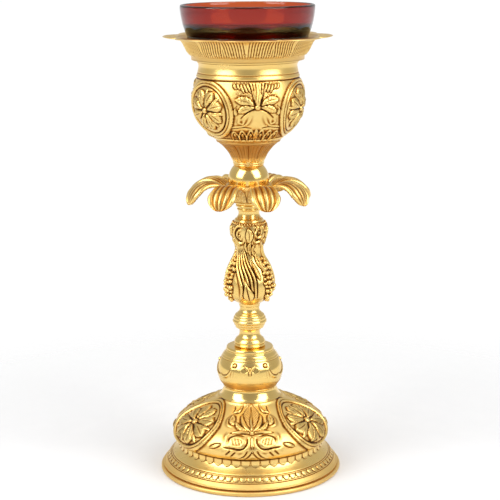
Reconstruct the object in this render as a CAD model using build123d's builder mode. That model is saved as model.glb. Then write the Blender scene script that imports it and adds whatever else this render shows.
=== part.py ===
from build123d import *
import os
from math import cos, pi, sin

# Altar lamp on a pedestal: pressed and spun brass shells and turned stem pieces, threaded on one
# tie rod between the foot and the bowl, with a loose red glass cup seated in the gallery.
# Frame: +Z up, the axis of every piece on Z, the origin on the table under the middle of the foot.

os.makedirs("parts", exist_ok=True)

# ---- Sheet and bore sizes, millimetres ----
SHEET = 1.0              # wall of the spun and pressed shells
BORE_RADIUS = 3.3        # clearance hole for the tie rod in every piece it passes
ROD_RADIUS = 3.0         # M6 tie rod

# ---- Heights of the stacked joints, bottom to top ----
FOOT_TOP = 15.0          # dome sits on the foot's ledge
DOME_TOP = 45.4          # collar sits on the dome
COLLAR_TOP = 52.4        # knop sits on the collar
KNOP_TOP = 71.3          # cap sits on the knop
CAP_TOP = 76.2           # spool sits on the cap
SPOOL_TOP = 101.3        # baluster sits on the spool
BALUSTER_TOP = 162.0     # leaf collar sits on the baluster
LEAF_SEAT = 166.5        # ball sits in the leaf collar
BALL_TOP = 186.5         # bowl foot sits on the ball
BOWL_FLOOR = 202.0       # bowl sits on its fluted foot
BOWL_TOP = 247.5         # gallery sits on the bowl
GALLERY_SEAT = 248.5     # glass rests here
FLANGE_BOTTOM = 260.4
GLASS_TOP = 280.0

# ---- Foot ----
RIM_ROLL_RADIUS = 1.4
RIM_RADIUS = 54.8
FOOT_LAND = 1.6          # width of the flat ground under the roll
LEDGE_INNER = 36.0
BRIDGE_LENGTH = 80.0
BRIDGE_WIDTH = 16.0
BRIDGE_THICKNESS = 2.0

# ---- Ball and leaf collar ----
BALL_RADIUS = 12.1
BALL_CENTRE = 177.9
LEAF_COUNT = 8
LEAF_TURN = 17.0         # degrees from -Y towards +X to the first leaf
LEAF_ROOT_WIDTH = 7.6
LEAF_TIP_WIDTH = 17.0
LEAF_REACH = 37.0
LEAF_WALL = 1.3

# ---- Gallery flange ----
LOBE_COUNT = 8
LOBE_TIP = 49.0
LOBE_NOTCH = 43.8
FLANGE_THICKNESS = 1.0
FLANGE_BORE = 41.0

# ---- Fasteners ----
WASHER_RADIUS = 9.0
WASHER_THICKNESS = 1.2
LOCK_WASHER_RADIUS = 5.4
LOCK_WASHER_THICKNESS = 1.6
LOCK_WASHER_GAP = 1.2
NUT_ACROSS_FLATS = 10.0
NUT_HEIGHT = 5.0
ROD_END_PROUD = 1.2
ROD_CHAMFER = 0.5
WASHER_BORE = 3.2


def inset(stations, wall):
    """The stations moved one wall thickness to the left of the path that they follow."""
    moved = []
    for i, (r, z) in enumerate(stations):
        before = stations[max(i - 1, 0)]
        after = stations[min(i + 1, len(stations) - 1)]
        along = Vector(after[0] - before[0], after[1] - before[1]).normalized()
        moved.append((r - along.Y * wall, z + along.X * wall))
    return moved


def shell_outline(stations, wall, floor=None, roof=None):
    """Draws the section of a spun shell in the open BuildLine.

    The stations run up the outside. floor and roof are the radii that the turned-in bottom and
    top edges reach, one wall thick, or None for an open edge.
    """
    inner = inset(stations, wall)
    low, high = stations[0], stations[-1]
    inner_low = (inner[0][0], low[1] + wall) if floor else (low[0] - wall, low[1])
    inner_high = (inner[-1][0], high[1] - wall) if roof else (high[0] - wall, high[1])
    Spline(*stations)
    Spline(inner_low, *inner[1:-1], inner_high)
    if floor:
        Polyline(low, (floor, low[1]), (floor, low[1] + wall), inner_low)
    else:
        Line(low, inner_low)
    if roof:
        Polyline(high, (roof, high[1]), (roof, high[1] - wall), inner_high)
    else:
        Line(high, inner_high)


def lobe_points(turn, count):
    """Points along one lobe of the flange, from notch to notch, round at its tip."""
    points = []
    for k in range(count + 1):
        across = 2 * k / count - 1
        radius = LOBE_NOTCH + (LOBE_TIP - LOBE_NOTCH) * (1 - abs(across) ** 2.6)
        angle = turn + across * pi / LOBE_COUNT
        points.append((radius * cos(angle), radius * sin(angle)))
    return points


# ---- Foot: rolled rim, cove up to a turned-in ledge ----
FOOT_WALL = [(53.9, 2.9), (52.3, 4.5), (50.9, 6.4), (49.6, 8.4), (48.0, 10.4), (45.8, 12.0),
             (44.0, 13.6), (43.0, FOOT_TOP)]
with BuildPart() as base_foot:
    with BuildSketch(Plane.XZ):
        with BuildLine():
            shell_outline(FOOT_WALL, SHEET, roof=LEDGE_INNER)
        make_face()
        with Locations((RIM_RADIUS - RIM_ROLL_RADIUS, RIM_ROLL_RADIUS)):
            Circle(RIM_ROLL_RADIUS)
        with Locations((RIM_RADIUS - RIM_ROLL_RADIUS, RIM_ROLL_RADIUS / 2)):
            Rectangle(FOOT_LAND, RIM_ROLL_RADIUS)
        with Locations((RIM_RADIUS - 2 * RIM_ROLL_RADIUS, 2 * RIM_ROLL_RADIUS)):
            Circle(RIM_ROLL_RADIUS / 2)
    revolve(axis=Axis.Z)
base_foot.part.label = "base_foot"
export_step(base_foot.part, "parts/base_foot.step")

# ---- Bridge bar under the foot's ledge, which the tie rod pulls up ----
BRIDGE_TOP = FOOT_TOP - SHEET
with BuildPart() as foot_bridge:
    with BuildSketch(Plane.XY.offset(BRIDGE_TOP - BRIDGE_THICKNESS)):
        SlotOverall(BRIDGE_LENGTH, BRIDGE_WIDTH)
        Circle(BORE_RADIUS, mode=Mode.SUBTRACT)
    extrude(amount=BRIDGE_THICKNESS)
foot_bridge.part.label = "foot_bridge"
export_step(foot_bridge.part, "parts/foot_bridge.step")

# ---- Pressed dome of the base ----
DOME_WALL = [(42.8, FOOT_TOP), (43.0, 18.3), (44.9, 19.4), (46.4, 21.0), (47.1, 23.6), (46.6, 26.6),
             (44.9, 29.6), (42.2, 32.5), (38.2, 35.2), (32.8, 38.2), (26.2, 41.4), (21.4, 43.8),
             (19.8, DOME_TOP)]
with BuildPart() as base_dome:
    with BuildSketch(Plane.XZ):
        with BuildLine():
            shell_outline(DOME_WALL, SHEET, floor=LEDGE_INNER + SHEET, roof=BORE_RADIUS)
        make_face()
    revolve(axis=Axis.Z)
base_dome.part.label = "base_dome"
export_step(base_dome.part, "parts/base_dome.step")

# ---- Waisted collar between dome and knop ----
COLLAR_WALL = [(19.0, DOME_TOP), (17.8, 46.8), (16.8, 48.8), (16.1, 50.8), (16.4, COLLAR_TOP)]
with BuildPart() as base_collar:
    with BuildSketch(Plane.XZ):
        with BuildLine():
            shell_outline(COLLAR_WALL, SHEET, roof=BORE_RADIUS)
        make_face()
    revolve(axis=Axis.Z)
base_collar.part.label = "base_collar"
export_step(base_collar.part, "parts/base_collar.step")

# ---- Hollow ball knop ----
KNOP_WALL = [(16.4, COLLAR_TOP), (18.6, 55.6), (19.6, 58.8), (19.8, 61.5), (19.4, 65.0),
             (18.1, 68.4), (16.4, KNOP_TOP)]
KNOP_MOUTH = 12.0
with BuildPart() as knop_shell:
    with BuildSketch(Plane.XZ):
        with BuildLine():
            shell_outline(KNOP_WALL, SHEET, floor=BORE_RADIUS, roof=KNOP_MOUTH)
        make_face()
    revolve(axis=Axis.Z)
knop_shell.part.label = "knop_shell"
export_step(knop_shell.part, "parts/knop_shell.step")

# ---- Stepped cap on the knop ----
CAP_STEPS = [(16.3, KNOP_TOP), (16.3, 72.4), (15.2, 72.7), (15.2, 73.7), (14.2, 74.0)]
CAP_DISC = [(14.2, 74.0), (14.2, 75.7), (13.7, CAP_TOP)]
with BuildPart() as knop_cap:
    with BuildSketch(Plane.XZ):
        with BuildLine():
            Polyline(*CAP_STEPS)
            Polyline(*CAP_DISC)
            Polyline((13.7, CAP_TOP), (BORE_RADIUS, CAP_TOP), (BORE_RADIUS, CAP_TOP - SHEET),
                     (13.0, CAP_TOP - SHEET), (13.0, 73.4), (13.6, KNOP_TOP), (16.3, KNOP_TOP))
        make_face()
    revolve(axis=Axis.Z)
knop_cap.part.label = "knop_cap"
export_step(knop_cap.part, "parts/knop_cap.step")

# ---- Turned spool with a ridged knob ----
with BuildPart() as stem_spool:
    with BuildSketch(Plane.XZ):
        with BuildLine():
            Line((9.3, CAP_TOP), (9.3, 80.0))
            Spline((9.3, 80.0), (7.6, 81.6), (6.4, 83.4), (6.1, 85.2), (6.6, 87.0))
            Line((6.6, 87.0), (8.4, 87.6))
            SagittaArc((8.4, 87.6), (8.9, 90.0), -0.5)
            SagittaArc((8.9, 90.0), (9.3, 95.2), -1.3)
            SagittaArc((9.3, 95.2), (7.4, 97.0), -0.4)
            Spline((7.4, 97.0), (6.4, 97.9), (5.9, 99.3), (5.9, 100.2), (6.2, SPOOL_TOP))
            Polyline((6.2, SPOOL_TOP), (BORE_RADIUS, SPOOL_TOP), (BORE_RADIUS, CAP_TOP),
                     (9.3, CAP_TOP))
        make_face()
    revolve(axis=Axis.Z)
stem_spool.part.label = "stem_spool"
export_step(stem_spool.part, "parts/stem_spool.step")

# ---- Cast baluster: lower bulge, waist, upper bulge ----
LOWER_BULGE = [(6.6, 103.0), (10.2, 105.2), (13.1, 108.0), (14.7, 112.0), (14.6, 116.5),
               (13.2, 121.5), (11.2, 126.5), (8.5, 131.5), (7.7, 135.5), (8.4, 139.2),
               (9.9, 143.2), (10.8, 147.4), (10.3, 151.0), (8.6, 153.6)]
with BuildPart() as stem_baluster:
    with BuildSketch(Plane.XZ):
        with BuildLine():
            Line((6.2, SPOOL_TOP), (6.6, 103.0))
            Spline(*LOWER_BULGE)
            Line((8.6, 153.6), (7.4, 154.8))
            Spline((7.4, 154.8), (6.3, 156.8), (6.1, 158.4), (6.6, 159.8))
            SagittaArc((6.6, 159.8), (6.6, 161.4), -0.5)
            Polyline((6.6, 161.4), (6.6, BALUSTER_TOP), (BORE_RADIUS, BALUSTER_TOP),
                     (BORE_RADIUS, SPOOL_TOP), (6.2, SPOOL_TOP))
        make_face()
    revolve(axis=Axis.Z)
stem_baluster.part.label = "stem_baluster"
export_step(stem_baluster.part, "parts/stem_baluster.step")

# ---- Calyx of arched leaves, bent down at their tips ----
LEAF_ARCH = [(9.0, 165.6), (12.4, 170.6), (16.8, 174.6), (21.8, 177.0), (27.2, 177.0),
             (32.0, 174.6), (35.2, 170.8), (36.2, 167.6), (36.0, 165.8), (35.2, 164.6)]
CALYX_CUP = [(6.8, BALUSTER_TOP), (8.6, 163.0), (10.2, 164.6), (11.0, LEAF_SEAT)]
with BuildSketch() as leaf_outline:
    with BuildLine():
        edge = Spline((0, -LEAF_ROOT_WIDTH / 2), (18.0, -LEAF_ROOT_WIDTH / 2 - 1.2),
                      (LEAF_REACH - 6, -LEAF_TIP_WIDTH / 2), (LEAF_REACH, 0))
        mirror(edge, about=Plane.XZ)
        Line((0, -LEAF_ROOT_WIDTH / 2), (0, LEAF_ROOT_WIDTH / 2))
    make_face()
with BuildPart() as leaf_collar:
    with BuildSketch(Plane.XZ):
        with BuildLine():
            arch = Spline(*LEAF_ARCH)
            belly = Spline(*inset(LEAF_ARCH, -LEAF_WALL))
            Line(arch @ 0, belly @ 0)
            Line(arch @ 1, belly @ 1)
        make_face()
    revolve(axis=Axis.Z)
    with BuildSketch(Plane.XY.offset(BALUSTER_TOP - 2 * LEAF_WALL)):
        with PolarLocations(0, LEAF_COUNT, start_angle=LEAF_TURN - 90):
            add(leaf_outline.sketch)
    extrude(amount=BALL_TOP - BALUSTER_TOP, mode=Mode.INTERSECT)
    with BuildSketch(Plane.XZ):
        with BuildLine():
            Spline(*CALYX_CUP)
            Polyline(CALYX_CUP[-1], (BORE_RADIUS, LEAF_SEAT), (BORE_RADIUS, BALUSTER_TOP),
                     CALYX_CUP[0])
        make_face()
    revolve(axis=Axis.Z)
leaf_collar.part.label = "leaf_collar"
export_step(leaf_collar.part, "parts/leaf_collar.step")

# ---- Turned ball in the leaves ----
with BuildPart() as upper_ball:
    with Locations((0, 0, BALL_CENTRE)):
        Sphere(BALL_RADIUS)
    split(bisect_by=Plane.XY.offset(LEAF_SEAT), keep=Keep.TOP)
    split(bisect_by=Plane.XY.offset(BALL_TOP), keep=Keep.BOTTOM)
    with Locations((0, 0, BALL_CENTRE)):
        Cylinder(BORE_RADIUS, 3 * BALL_RADIUS, mode=Mode.SUBTRACT)
upper_ball.part.label = "upper_ball"
export_step(upper_ball.part, "parts/upper_ball.step")

# ---- Fluted trumpet foot of the bowl ----
TRUMPET_WALL = [(8.9, BALL_TOP), (9.4, 189.0), (10.2, 191.3), (11.2, 193.6), (12.9, 196.0),
                (15.3, 198.4), (18.6, BOWL_FLOOR)]
with BuildPart() as bowl_foot:
    with BuildSketch(Plane.XZ):
        with BuildLine():
            shell_outline(TRUMPET_WALL, SHEET, floor=BORE_RADIUS)
        make_face()
    revolve(axis=Axis.Z)
bowl_foot.part.label = "bowl_foot"
export_step(bowl_foot.part, "parts/bowl_foot.step")

# ---- Embossed bowl ----
BOWL_WALL = [(19.4, BOWL_FLOOR), (21.2, 204.3), (24.0, 207.0), (26.4, 209.4), (28.4, 211.8),
             (30.4, 215.2), (31.7, 219.0), (32.5, 223.0), (32.6, 227.4), (31.9, 232.0),
             (30.8, 236.0), (29.6, 239.8), (28.7, 243.4), (29.2, 245.4), (31.2, BOWL_TOP)]
with BuildPart() as bowl_shell:
    with BuildSketch(Plane.XZ):
        with BuildLine():
            shell_outline(BOWL_WALL, SHEET, floor=BORE_RADIUS)
        make_face()
    revolve(axis=Axis.Z)
bowl_shell.part.label = "bowl_shell"
export_step(bowl_shell.part, "parts/bowl_shell.step")

# ---- Gallery that holds the glass: seat ring, flare and lobed flange ----
GALLERY_FLARE = [(33.0, BOWL_TOP), (34.1, 250.0), (35.6, 252.2), (36.8, 254.6), (38.0, 257.0),
                 (39.9, 259.0), (42.6, FLANGE_BOTTOM)]
with BuildPart() as gallery:
    with BuildSketch(Plane.XZ):
        with BuildLine():
            flare_out = Spline(*GALLERY_FLARE)
            Polyline(flare_out @ 0, (27.8, BOWL_TOP), (27.8, GALLERY_SEAT), (32.4, GALLERY_SEAT))
            flare_in = Spline((32.4, GALLERY_SEAT), (33.2, 250.4), (34.6, 252.6), (35.8, 255.0),
                              (37.0, 258.0), (38.9, 260.1), (FLANGE_BORE, FLANGE_BOTTOM + FLANGE_THICKNESS))
            Polyline(flare_in @ 1, (LOBE_NOTCH - 0.8, FLANGE_BOTTOM + FLANGE_THICKNESS),
                     (LOBE_NOTCH - 0.8, FLANGE_BOTTOM), flare_out @ 1)
        make_face()
    revolve(axis=Axis.Z)
    with BuildSketch(Plane.XY.offset(FLANGE_BOTTOM)):
        with BuildLine():
            for lobe in range(LOBE_COUNT):
                Spline(*lobe_points(2 * pi * lobe / LOBE_COUNT, 8))
        make_face()
        Circle(LOBE_NOTCH - 1.2, mode=Mode.SUBTRACT)
    extrude(amount=FLANGE_THICKNESS)
gallery.part.label = "gallery"
export_step(gallery.part, "parts/gallery.step")

# ---- Red glass cup: flared basin over a narrower foot that drops into the gallery ----
with BuildPart() as glass_cup:
    with BuildSketch(Plane.XZ):
        with BuildLine():
            Line((0, GALLERY_SEAT), (30.0, GALLERY_SEAT))
            Spline((30.0, GALLERY_SEAT), (32.2, 250.2), (33.4, 252.6), (34.6, 256.6), (35.3, 261.6))
            Spline((35.3, 261.6), (35.3, 262.6), (36.1, 264.2), (37.2, 267.4), (38.1, 271.0),
                   (38.8, 275.0), (39.2, 278.8))
            SagittaArc((39.2, 278.8), (37.2, 279.0), -1.1)
            Spline((37.2, 279.0), (36.6, 273.6), (35.4, 268.4), (32.4, 264.8), (30.6, 261.0),
                   (29.8, 256.4), (28.2, 253.2), (25.0, 252.0))
            Polyline((25.0, 252.0), (0, 252.0), (0, GALLERY_SEAT))
        make_face()
    revolve(axis=Axis.Z)
glass_cup.part.label = "glass_cup"
export_step(glass_cup.part, "parts/glass_cup.step")

# ---- Fasteners: washer, split lock washer and hex nut at each end of the tie rod ----


def washer(name, bottom):
    """A flat washer whose lower face is at the height given."""
    with BuildPart() as ring:
        with BuildSketch(Plane.XY.offset(bottom)):
            Circle(WASHER_RADIUS)
            Circle(WASHER_BORE, mode=Mode.SUBTRACT)
        extrude(amount=WASHER_THICKNESS)
    ring.part.label = name
    export_step(ring.part, f"parts/{name}.step")


def lock_washer(name, bottom):
    """A split spring washer, pressed flat, with its cut on +X."""
    with BuildPart() as ring:
        with BuildSketch(Plane.XY.offset(bottom)):
            Circle(LOCK_WASHER_RADIUS)
            Circle(WASHER_BORE, mode=Mode.SUBTRACT)
            with Locations(Location((LOCK_WASHER_RADIUS, 0), 30)):
                Rectangle(2 * LOCK_WASHER_RADIUS, LOCK_WASHER_GAP, mode=Mode.SUBTRACT)
        extrude(amount=LOCK_WASHER_THICKNESS)
    ring.part.label = name
    export_step(ring.part, f"parts/{name}.step")


def hex_nut(name, bottom):
    """A hex nut with chamfered corners, threaded on the tie rod."""
    with BuildPart() as nut:
        with BuildSketch(Plane.XY.offset(bottom)):
            RegularPolygon(NUT_ACROSS_FLATS / 2, 6, major_radius=False)
        extrude(amount=NUT_HEIGHT)
        with BuildSketch(Plane.XY.offset(bottom)):
            Circle(NUT_ACROSS_FLATS / 2 + 0.55)
        extrude(amount=NUT_HEIGHT, mode=Mode.INTERSECT)
        with Locations((0, 0, bottom)):
            Cylinder(ROD_RADIUS, 3 * NUT_HEIGHT, mode=Mode.SUBTRACT)
    nut.part.label = name
    export_step(nut.part, f"parts/{name}.step")


BASE_WASHER_BOTTOM = BRIDGE_TOP - BRIDGE_THICKNESS - WASHER_THICKNESS
BASE_LOCK_BOTTOM = BASE_WASHER_BOTTOM - LOCK_WASHER_THICKNESS
BASE_NUT_BOTTOM = BASE_LOCK_BOTTOM - NUT_HEIGHT
BOWL_WASHER_BOTTOM = BOWL_FLOOR + SHEET
BOWL_LOCK_BOTTOM = BOWL_WASHER_BOTTOM + WASHER_THICKNESS
BOWL_NUT_BOTTOM = BOWL_LOCK_BOTTOM + LOCK_WASHER_THICKNESS

washer("base_washer", BASE_WASHER_BOTTOM)
lock_washer("base_lock_washer", BASE_LOCK_BOTTOM)
hex_nut("base_nut", BASE_NUT_BOTTOM)
washer("bowl_washer", BOWL_WASHER_BOTTOM)
lock_washer("bowl_lock_washer", BOWL_LOCK_BOTTOM)
hex_nut("bowl_nut", BOWL_NUT_BOTTOM)

# ---- Tie rod through the whole stack ----
ROD_BOTTOM = BASE_NUT_BOTTOM - ROD_END_PROUD
ROD_TOP = BOWL_NUT_BOTTOM + NUT_HEIGHT + ROD_END_PROUD
with BuildPart() as tie_rod:
    with BuildSketch(Plane.XY.offset(ROD_BOTTOM)):
        Circle(ROD_RADIUS)
    extrude(amount=ROD_TOP - ROD_BOTTOM)
    chamfer(tie_rod.edges().filter_by(GeomType.CIRCLE), ROD_CHAMFER)
tie_rod.part.label = "tie_rod"
export_step(tie_rod.part, "parts/tie_rod.step")
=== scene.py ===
"""Gilt altar lamp: embossed foot and dome, cast stem, leaf collar, embossed bowl and red glass cup.

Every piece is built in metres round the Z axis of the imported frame. Sizes in the classes are in
millimetres, because that is how a brass worker would give them, and MM turns them into metres.
"""

import logging
import math
from dataclasses import dataclass, field
from enum import Enum
from typing import Callable, ClassVar, Optional, Sequence, Union

import bpy
import numpy as np
from mathutils import Matrix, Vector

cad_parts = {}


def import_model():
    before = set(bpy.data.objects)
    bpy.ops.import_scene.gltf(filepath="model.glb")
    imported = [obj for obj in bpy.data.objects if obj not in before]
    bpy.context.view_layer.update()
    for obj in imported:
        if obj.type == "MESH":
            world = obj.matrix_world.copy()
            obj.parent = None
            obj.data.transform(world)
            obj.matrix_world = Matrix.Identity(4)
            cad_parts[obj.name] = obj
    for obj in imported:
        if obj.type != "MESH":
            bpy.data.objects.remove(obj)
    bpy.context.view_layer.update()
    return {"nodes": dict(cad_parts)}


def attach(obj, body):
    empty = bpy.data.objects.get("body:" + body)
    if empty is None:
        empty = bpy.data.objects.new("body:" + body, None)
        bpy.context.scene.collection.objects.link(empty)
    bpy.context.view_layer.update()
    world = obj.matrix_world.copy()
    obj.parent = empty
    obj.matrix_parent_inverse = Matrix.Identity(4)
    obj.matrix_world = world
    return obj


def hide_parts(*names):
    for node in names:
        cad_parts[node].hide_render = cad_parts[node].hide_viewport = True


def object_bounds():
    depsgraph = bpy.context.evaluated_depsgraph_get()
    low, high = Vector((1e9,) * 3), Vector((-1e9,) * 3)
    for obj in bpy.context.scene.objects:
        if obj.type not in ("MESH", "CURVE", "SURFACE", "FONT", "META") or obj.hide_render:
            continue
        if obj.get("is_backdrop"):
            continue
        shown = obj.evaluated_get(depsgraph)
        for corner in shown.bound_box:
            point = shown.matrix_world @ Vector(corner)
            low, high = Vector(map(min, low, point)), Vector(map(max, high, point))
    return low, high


MM = 0.001
WALL = 1.0            # thickness of the spun and pressed brass
ROD_HOLE = 3.3        # radius of the hole for the rod in every piece of the stack
# Grooves reach their full painted shade at GROOVE_DEPTH.
GROOVE_DEPTH = 0.24   # the depth at which a groove has gone fully dark
LOG = logging.getLogger("altar_lamp")

Point = tuple[float, float]
Path = Sequence[Point]
Array = np.ndarray


class Body(Enum):
    """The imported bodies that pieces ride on."""

    METALWORK = "metalwork"
    GLASS = "glass"


class Slot(Enum):
    """The record's material slots."""

    PRESSED = "pressed_gilt_brass"
    POLISHED = "polished_gilt_brass"
    CAST = "cast_gilt_brass"
    STEEL = "zinc_steel"
    GLASS = "red_glass"


# ---------------------------------------------------------------------------------------------
# Shader maths and nodes
# ---------------------------------------------------------------------------------------------

Value = Union["Wire", float, int, tuple]


class Wire:
    """A shader socket that takes part in Python expressions by adding Math nodes."""

    def __init__(self, sheet: "ShaderSheet", socket: bpy.types.NodeSocket) -> None:
        """Keeps the sheet that new nodes go on and the socket they read."""
        self.sheet = sheet
        self.socket = socket

    def _math(self, operation: str, first: Value, second: Value) -> "Wire":
        """Adds one Math node and returns its output."""
        return self.sheet.node("ShaderNodeMath", {"operation": operation}, {0: first, 1: second})

    def __add__(self, other: Value) -> "Wire":
        """Returns self + other."""
        return self._math("ADD", self, other)

    def __mul__(self, other: Value) -> "Wire":
        """Returns self * other."""
        return self._math("MULTIPLY", self, other)

    def __sub__(self, other: Value) -> "Wire":
        """Returns self - other."""
        return self._math("SUBTRACT", self, other)

    def between(self, low: float, high: float) -> "Wire":
        """Returns 0 at low and 1 at high, held at both ends."""
        return self.sheet.node("ShaderNodeMapRange", {"clamp": True},
                               {"Value": self, "From Min": low, "From Max": high})


class ShaderSheet:
    """A material's node tree and the one method that puts nodes on it."""

    def __init__(self, name: str) -> None:
        """Makes an empty material with an output node.

        Args:
            name: the material's name.
        """
        self.material = bpy.data.materials.new(name)
        self.material.use_nodes = True
        self.tree = self.material.node_tree
        self.tree.nodes.clear()
        self.output = self.tree.nodes.new("ShaderNodeOutputMaterial")

    def node(self, kind: str, settings: Optional[dict] = None, inputs: Optional[dict] = None,
             output: Union[str, int] = 0) -> Wire:
        """Adds a node.

        Args:
            kind: the node's type name.
            settings: attributes set before the inputs.
            inputs: a value or a Wire for each input, by name or number.
            output: the output wanted, by name or number.

        Returns:
            The wanted output.
        """
        made = self.tree.nodes.new(kind)
        for key, value in (settings or {}).items():
            setattr(made, key, value)
        for key, value in (inputs or {}).items():
            self._feed(made.inputs[key], value)
        return Wire(self, made.outputs[output])

    def _feed(self, socket: bpy.types.NodeSocket, value: Value) -> None:
        """Links a wire to a socket, or sets the socket's own value.

        Args:
            socket: the input to set.
            value: a wire or a plain value.
        """
        if isinstance(value, Wire):
            self.tree.links.new(value.socket, socket)
        else:
            socket.default_value = value

    def blend(self, factor: Value, first: Value, second: Value, mode: str = "MIX") -> Wire:
        """Mixes two colours by a factor and returns the colour.

        Args:
            factor: how much of the second colour shows.
            first: the colour at a factor of 0.
            second: the colour at a factor of 1.
            mode: the way of mixing.

        Returns:
            The mixed colour.
        """
        made = self.tree.nodes.new("ShaderNodeMix")
        made.data_type = "RGBA"
        made.blend_type = mode
        for index, value in ((0, factor), (6, first), (7, second)):
            self._feed(made.inputs[index], value)
        return Wire(self, made.outputs[2])

    def attribute(self, name: str) -> Wire:
        """Returns a mesh attribute's value."""
        return self.node("ShaderNodeAttribute", {"attribute_name": name}, output="Fac")

    def places(self) -> Wire:
        """Returns the object coordinates."""
        return self.node("ShaderNodeTexCoord", output="Object")

    def scaled(self, scale: tuple[float, float, float]) -> Wire:
        """Returns object coordinates through a Mapping node of that scale."""
        return self.node("ShaderNodeMapping", None, {"Vector": self.places(), "Scale": scale})

    def noise(self, place: Wire, scale: float, detail: float, roughness: float = 0.5) -> Wire:
        """Returns a cloudy pattern from 0 to 1."""
        return self.node("ShaderNodeTexNoise", None, {"Vector": place, "Scale": scale,
                                                      "Detail": detail, "Roughness": roughness})

    def bump(self, height: Wire, strength: float, distance: float) -> Wire:
        """Returns the surface direction over a pattern of heights."""
        return self.node("ShaderNodeBump", None,
                         {"Strength": strength, "Distance": distance, "Height": height})

    def metal(self, colour: Wire, roughness: Wire, skin: Wire) -> bpy.types.Material:
        """Ends the sheet with bare metal and returns the material."""
        return self.finish(self.node("ShaderNodeBsdfPrincipled", None,
                                     {"Base Color": colour, "Metallic": 1.0,
                                      "Roughness": roughness, "Normal": skin}))

    def finish(self, surface: Wire, volume: Optional[Wire] = None) -> bpy.types.Material:
        """Links the output node and returns the material.

        Args:
            surface: the surface shader.
            volume: the volume shader, or None.

        Returns:
            The material.
        """
        self.tree.links.new(surface.socket, self.output.inputs["Surface"])
        if volume is not None:
            self.tree.links.new(volume.socket, self.output.inputs["Volume"])
        return self.material


def rgba(red: float, green: float, blue: float) -> tuple[float, float, float, float]:
    """Returns an opaque colour."""
    return (red, green, blue, 1.0)


# ---------------------------------------------------------------------------------------------
# Finishes
# ---------------------------------------------------------------------------------------------


@dataclass(frozen=True)
class Gilding:
    """A gilt brass finish: bright on the high places, painted shade brown in the recesses and near
    black in the deepest grooves, matted by a punch.
    """

    name: str
    roughness: float
    grain: float = 0.00002
    matting: float = 0.00006
    pitch: float = 1500.0
    bright: tuple[float, float, float, float] = rgba(0.91, 0.645, 0.225)
    # deep and black are painted shade: the colour of the recesses and of the deepest grooves.
    deep: tuple[float, float, float, float] = rgba(0.40, 0.145, 0.015)
    black: tuple[float, float, float, float] = rgba(0.055, 0.025, 0.008)

    def build(self) -> bpy.types.Material:
        """Makes the material.

        Returns:
            A material that reads the mesh attributes recess, which sets the painted shade, and
            matted_and_shaded.
        """
        sheet = ShaderSheet(self.name)
        recess = sheet.attribute("recess")
        matted_and_shaded = sheet.attribute("matted_and_shaded")
        place = sheet.places()
        cloud = sheet.noise(place, 90.0, 3.0, 0.6)
        speck = sheet.noise(place, 900.0, 2.0, 0.7)
        punch = sheet.node("ShaderNodeTexVoronoi", {"feature": "F1"},
                           {"Vector": place, "Scale": self.pitch}, "Distance")
        scratch = sheet.noise(sheet.scaled((1.0, 1.0, 9.0)), 700.0, 2.0)
        # Painted shade: the deeper a recess, the browner it is painted, and the deepest grooves go
        # near black; matted ground darkens a little too.
        shade_and_matting = (recess * 1.45 + matted_and_shaded * 0.22 + (speck - 0.5) * 0.3 * recess).between(0.12, 0.85)
        worn = sheet.blend(cloud.between(0.35, 0.7) * 0.35, self.bright, rgba(0.86, 0.55, 0.13))
        colour = sheet.blend(shade_and_matting, worn, self.deep)
        colour = sheet.blend(recess.between(0.62, 1.0), colour, self.black)
        shine = cloud * 0.10 + speck * 0.06 + matted_and_shaded * 0.16 + recess * 0.18 + (self.roughness - 0.06)
        low = sheet.bump(punch * matted_and_shaded, 1.0, self.matting)
        fine = sheet.node("ShaderNodeBump", None,
                          {"Strength": 0.55, "Distance": self.grain,
                           "Height": scratch * 0.5 + speck, "Normal": low})
        return sheet.metal(colour, shine, fine)


@dataclass(frozen=True)
class RubyGlass:
    """Moulded red glass, tinted through its depth."""

    name: str = "ruby_glass"
    tint: tuple[float, float, float, float] = rgba(0.872, 0.50, 0.18)
    density: float = 2300.0

    def build(self) -> bpy.types.Material:
        """Makes the material with a slight waviness of the moulded wall.

        Returns:
            The material.
        """
        sheet = ShaderSheet(self.name)
        wave = sheet.noise(sheet.scaled((1.0, 1.0, 0.35)), 38.0, 1.0)
        skin = sheet.bump(wave, 0.35, 0.0006)
        smear = sheet.noise(sheet.places(), 160.0, 3.0)
        body = sheet.node("ShaderNodeBsdfPrincipled", None,
                          {"Base Color": rgba(1.0, 0.95, 0.93), "Roughness": smear * 0.03 + 0.005,
                           "IOR": 1.45, "Specular IOR Level": 0.12,
                           "Transmission Weight": 1.0, "Normal": skin})
        depth = sheet.node("ShaderNodeVolumeAbsorption", None,
                           {"Color": self.tint, "Density": self.density})
        return sheet.finish(body, depth)


@dataclass(frozen=True)
class ZincSteel:
    """Zinc-plated steel of the hidden fasteners."""

    name: str = "zinc_steel"

    def build(self) -> bpy.types.Material:
        """Makes the material: dull grey with the spangle of the plating.

        Returns:
            The material.
        """
        sheet = ShaderSheet(self.name)
        spangle = sheet.node("ShaderNodeTexVoronoi", None,
                             {"Vector": sheet.places(), "Scale": 420.0}, "Color")
        grey = sheet.blend(0.16, rgba(0.58, 0.59, 0.60), spangle, "SOFT_LIGHT")
        dust = sheet.noise(sheet.places(), 260.0, 4.0)
        return sheet.metal(grey, dust * 0.25 + 0.25, sheet.bump(dust, 0.5, 0.00005))


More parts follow.
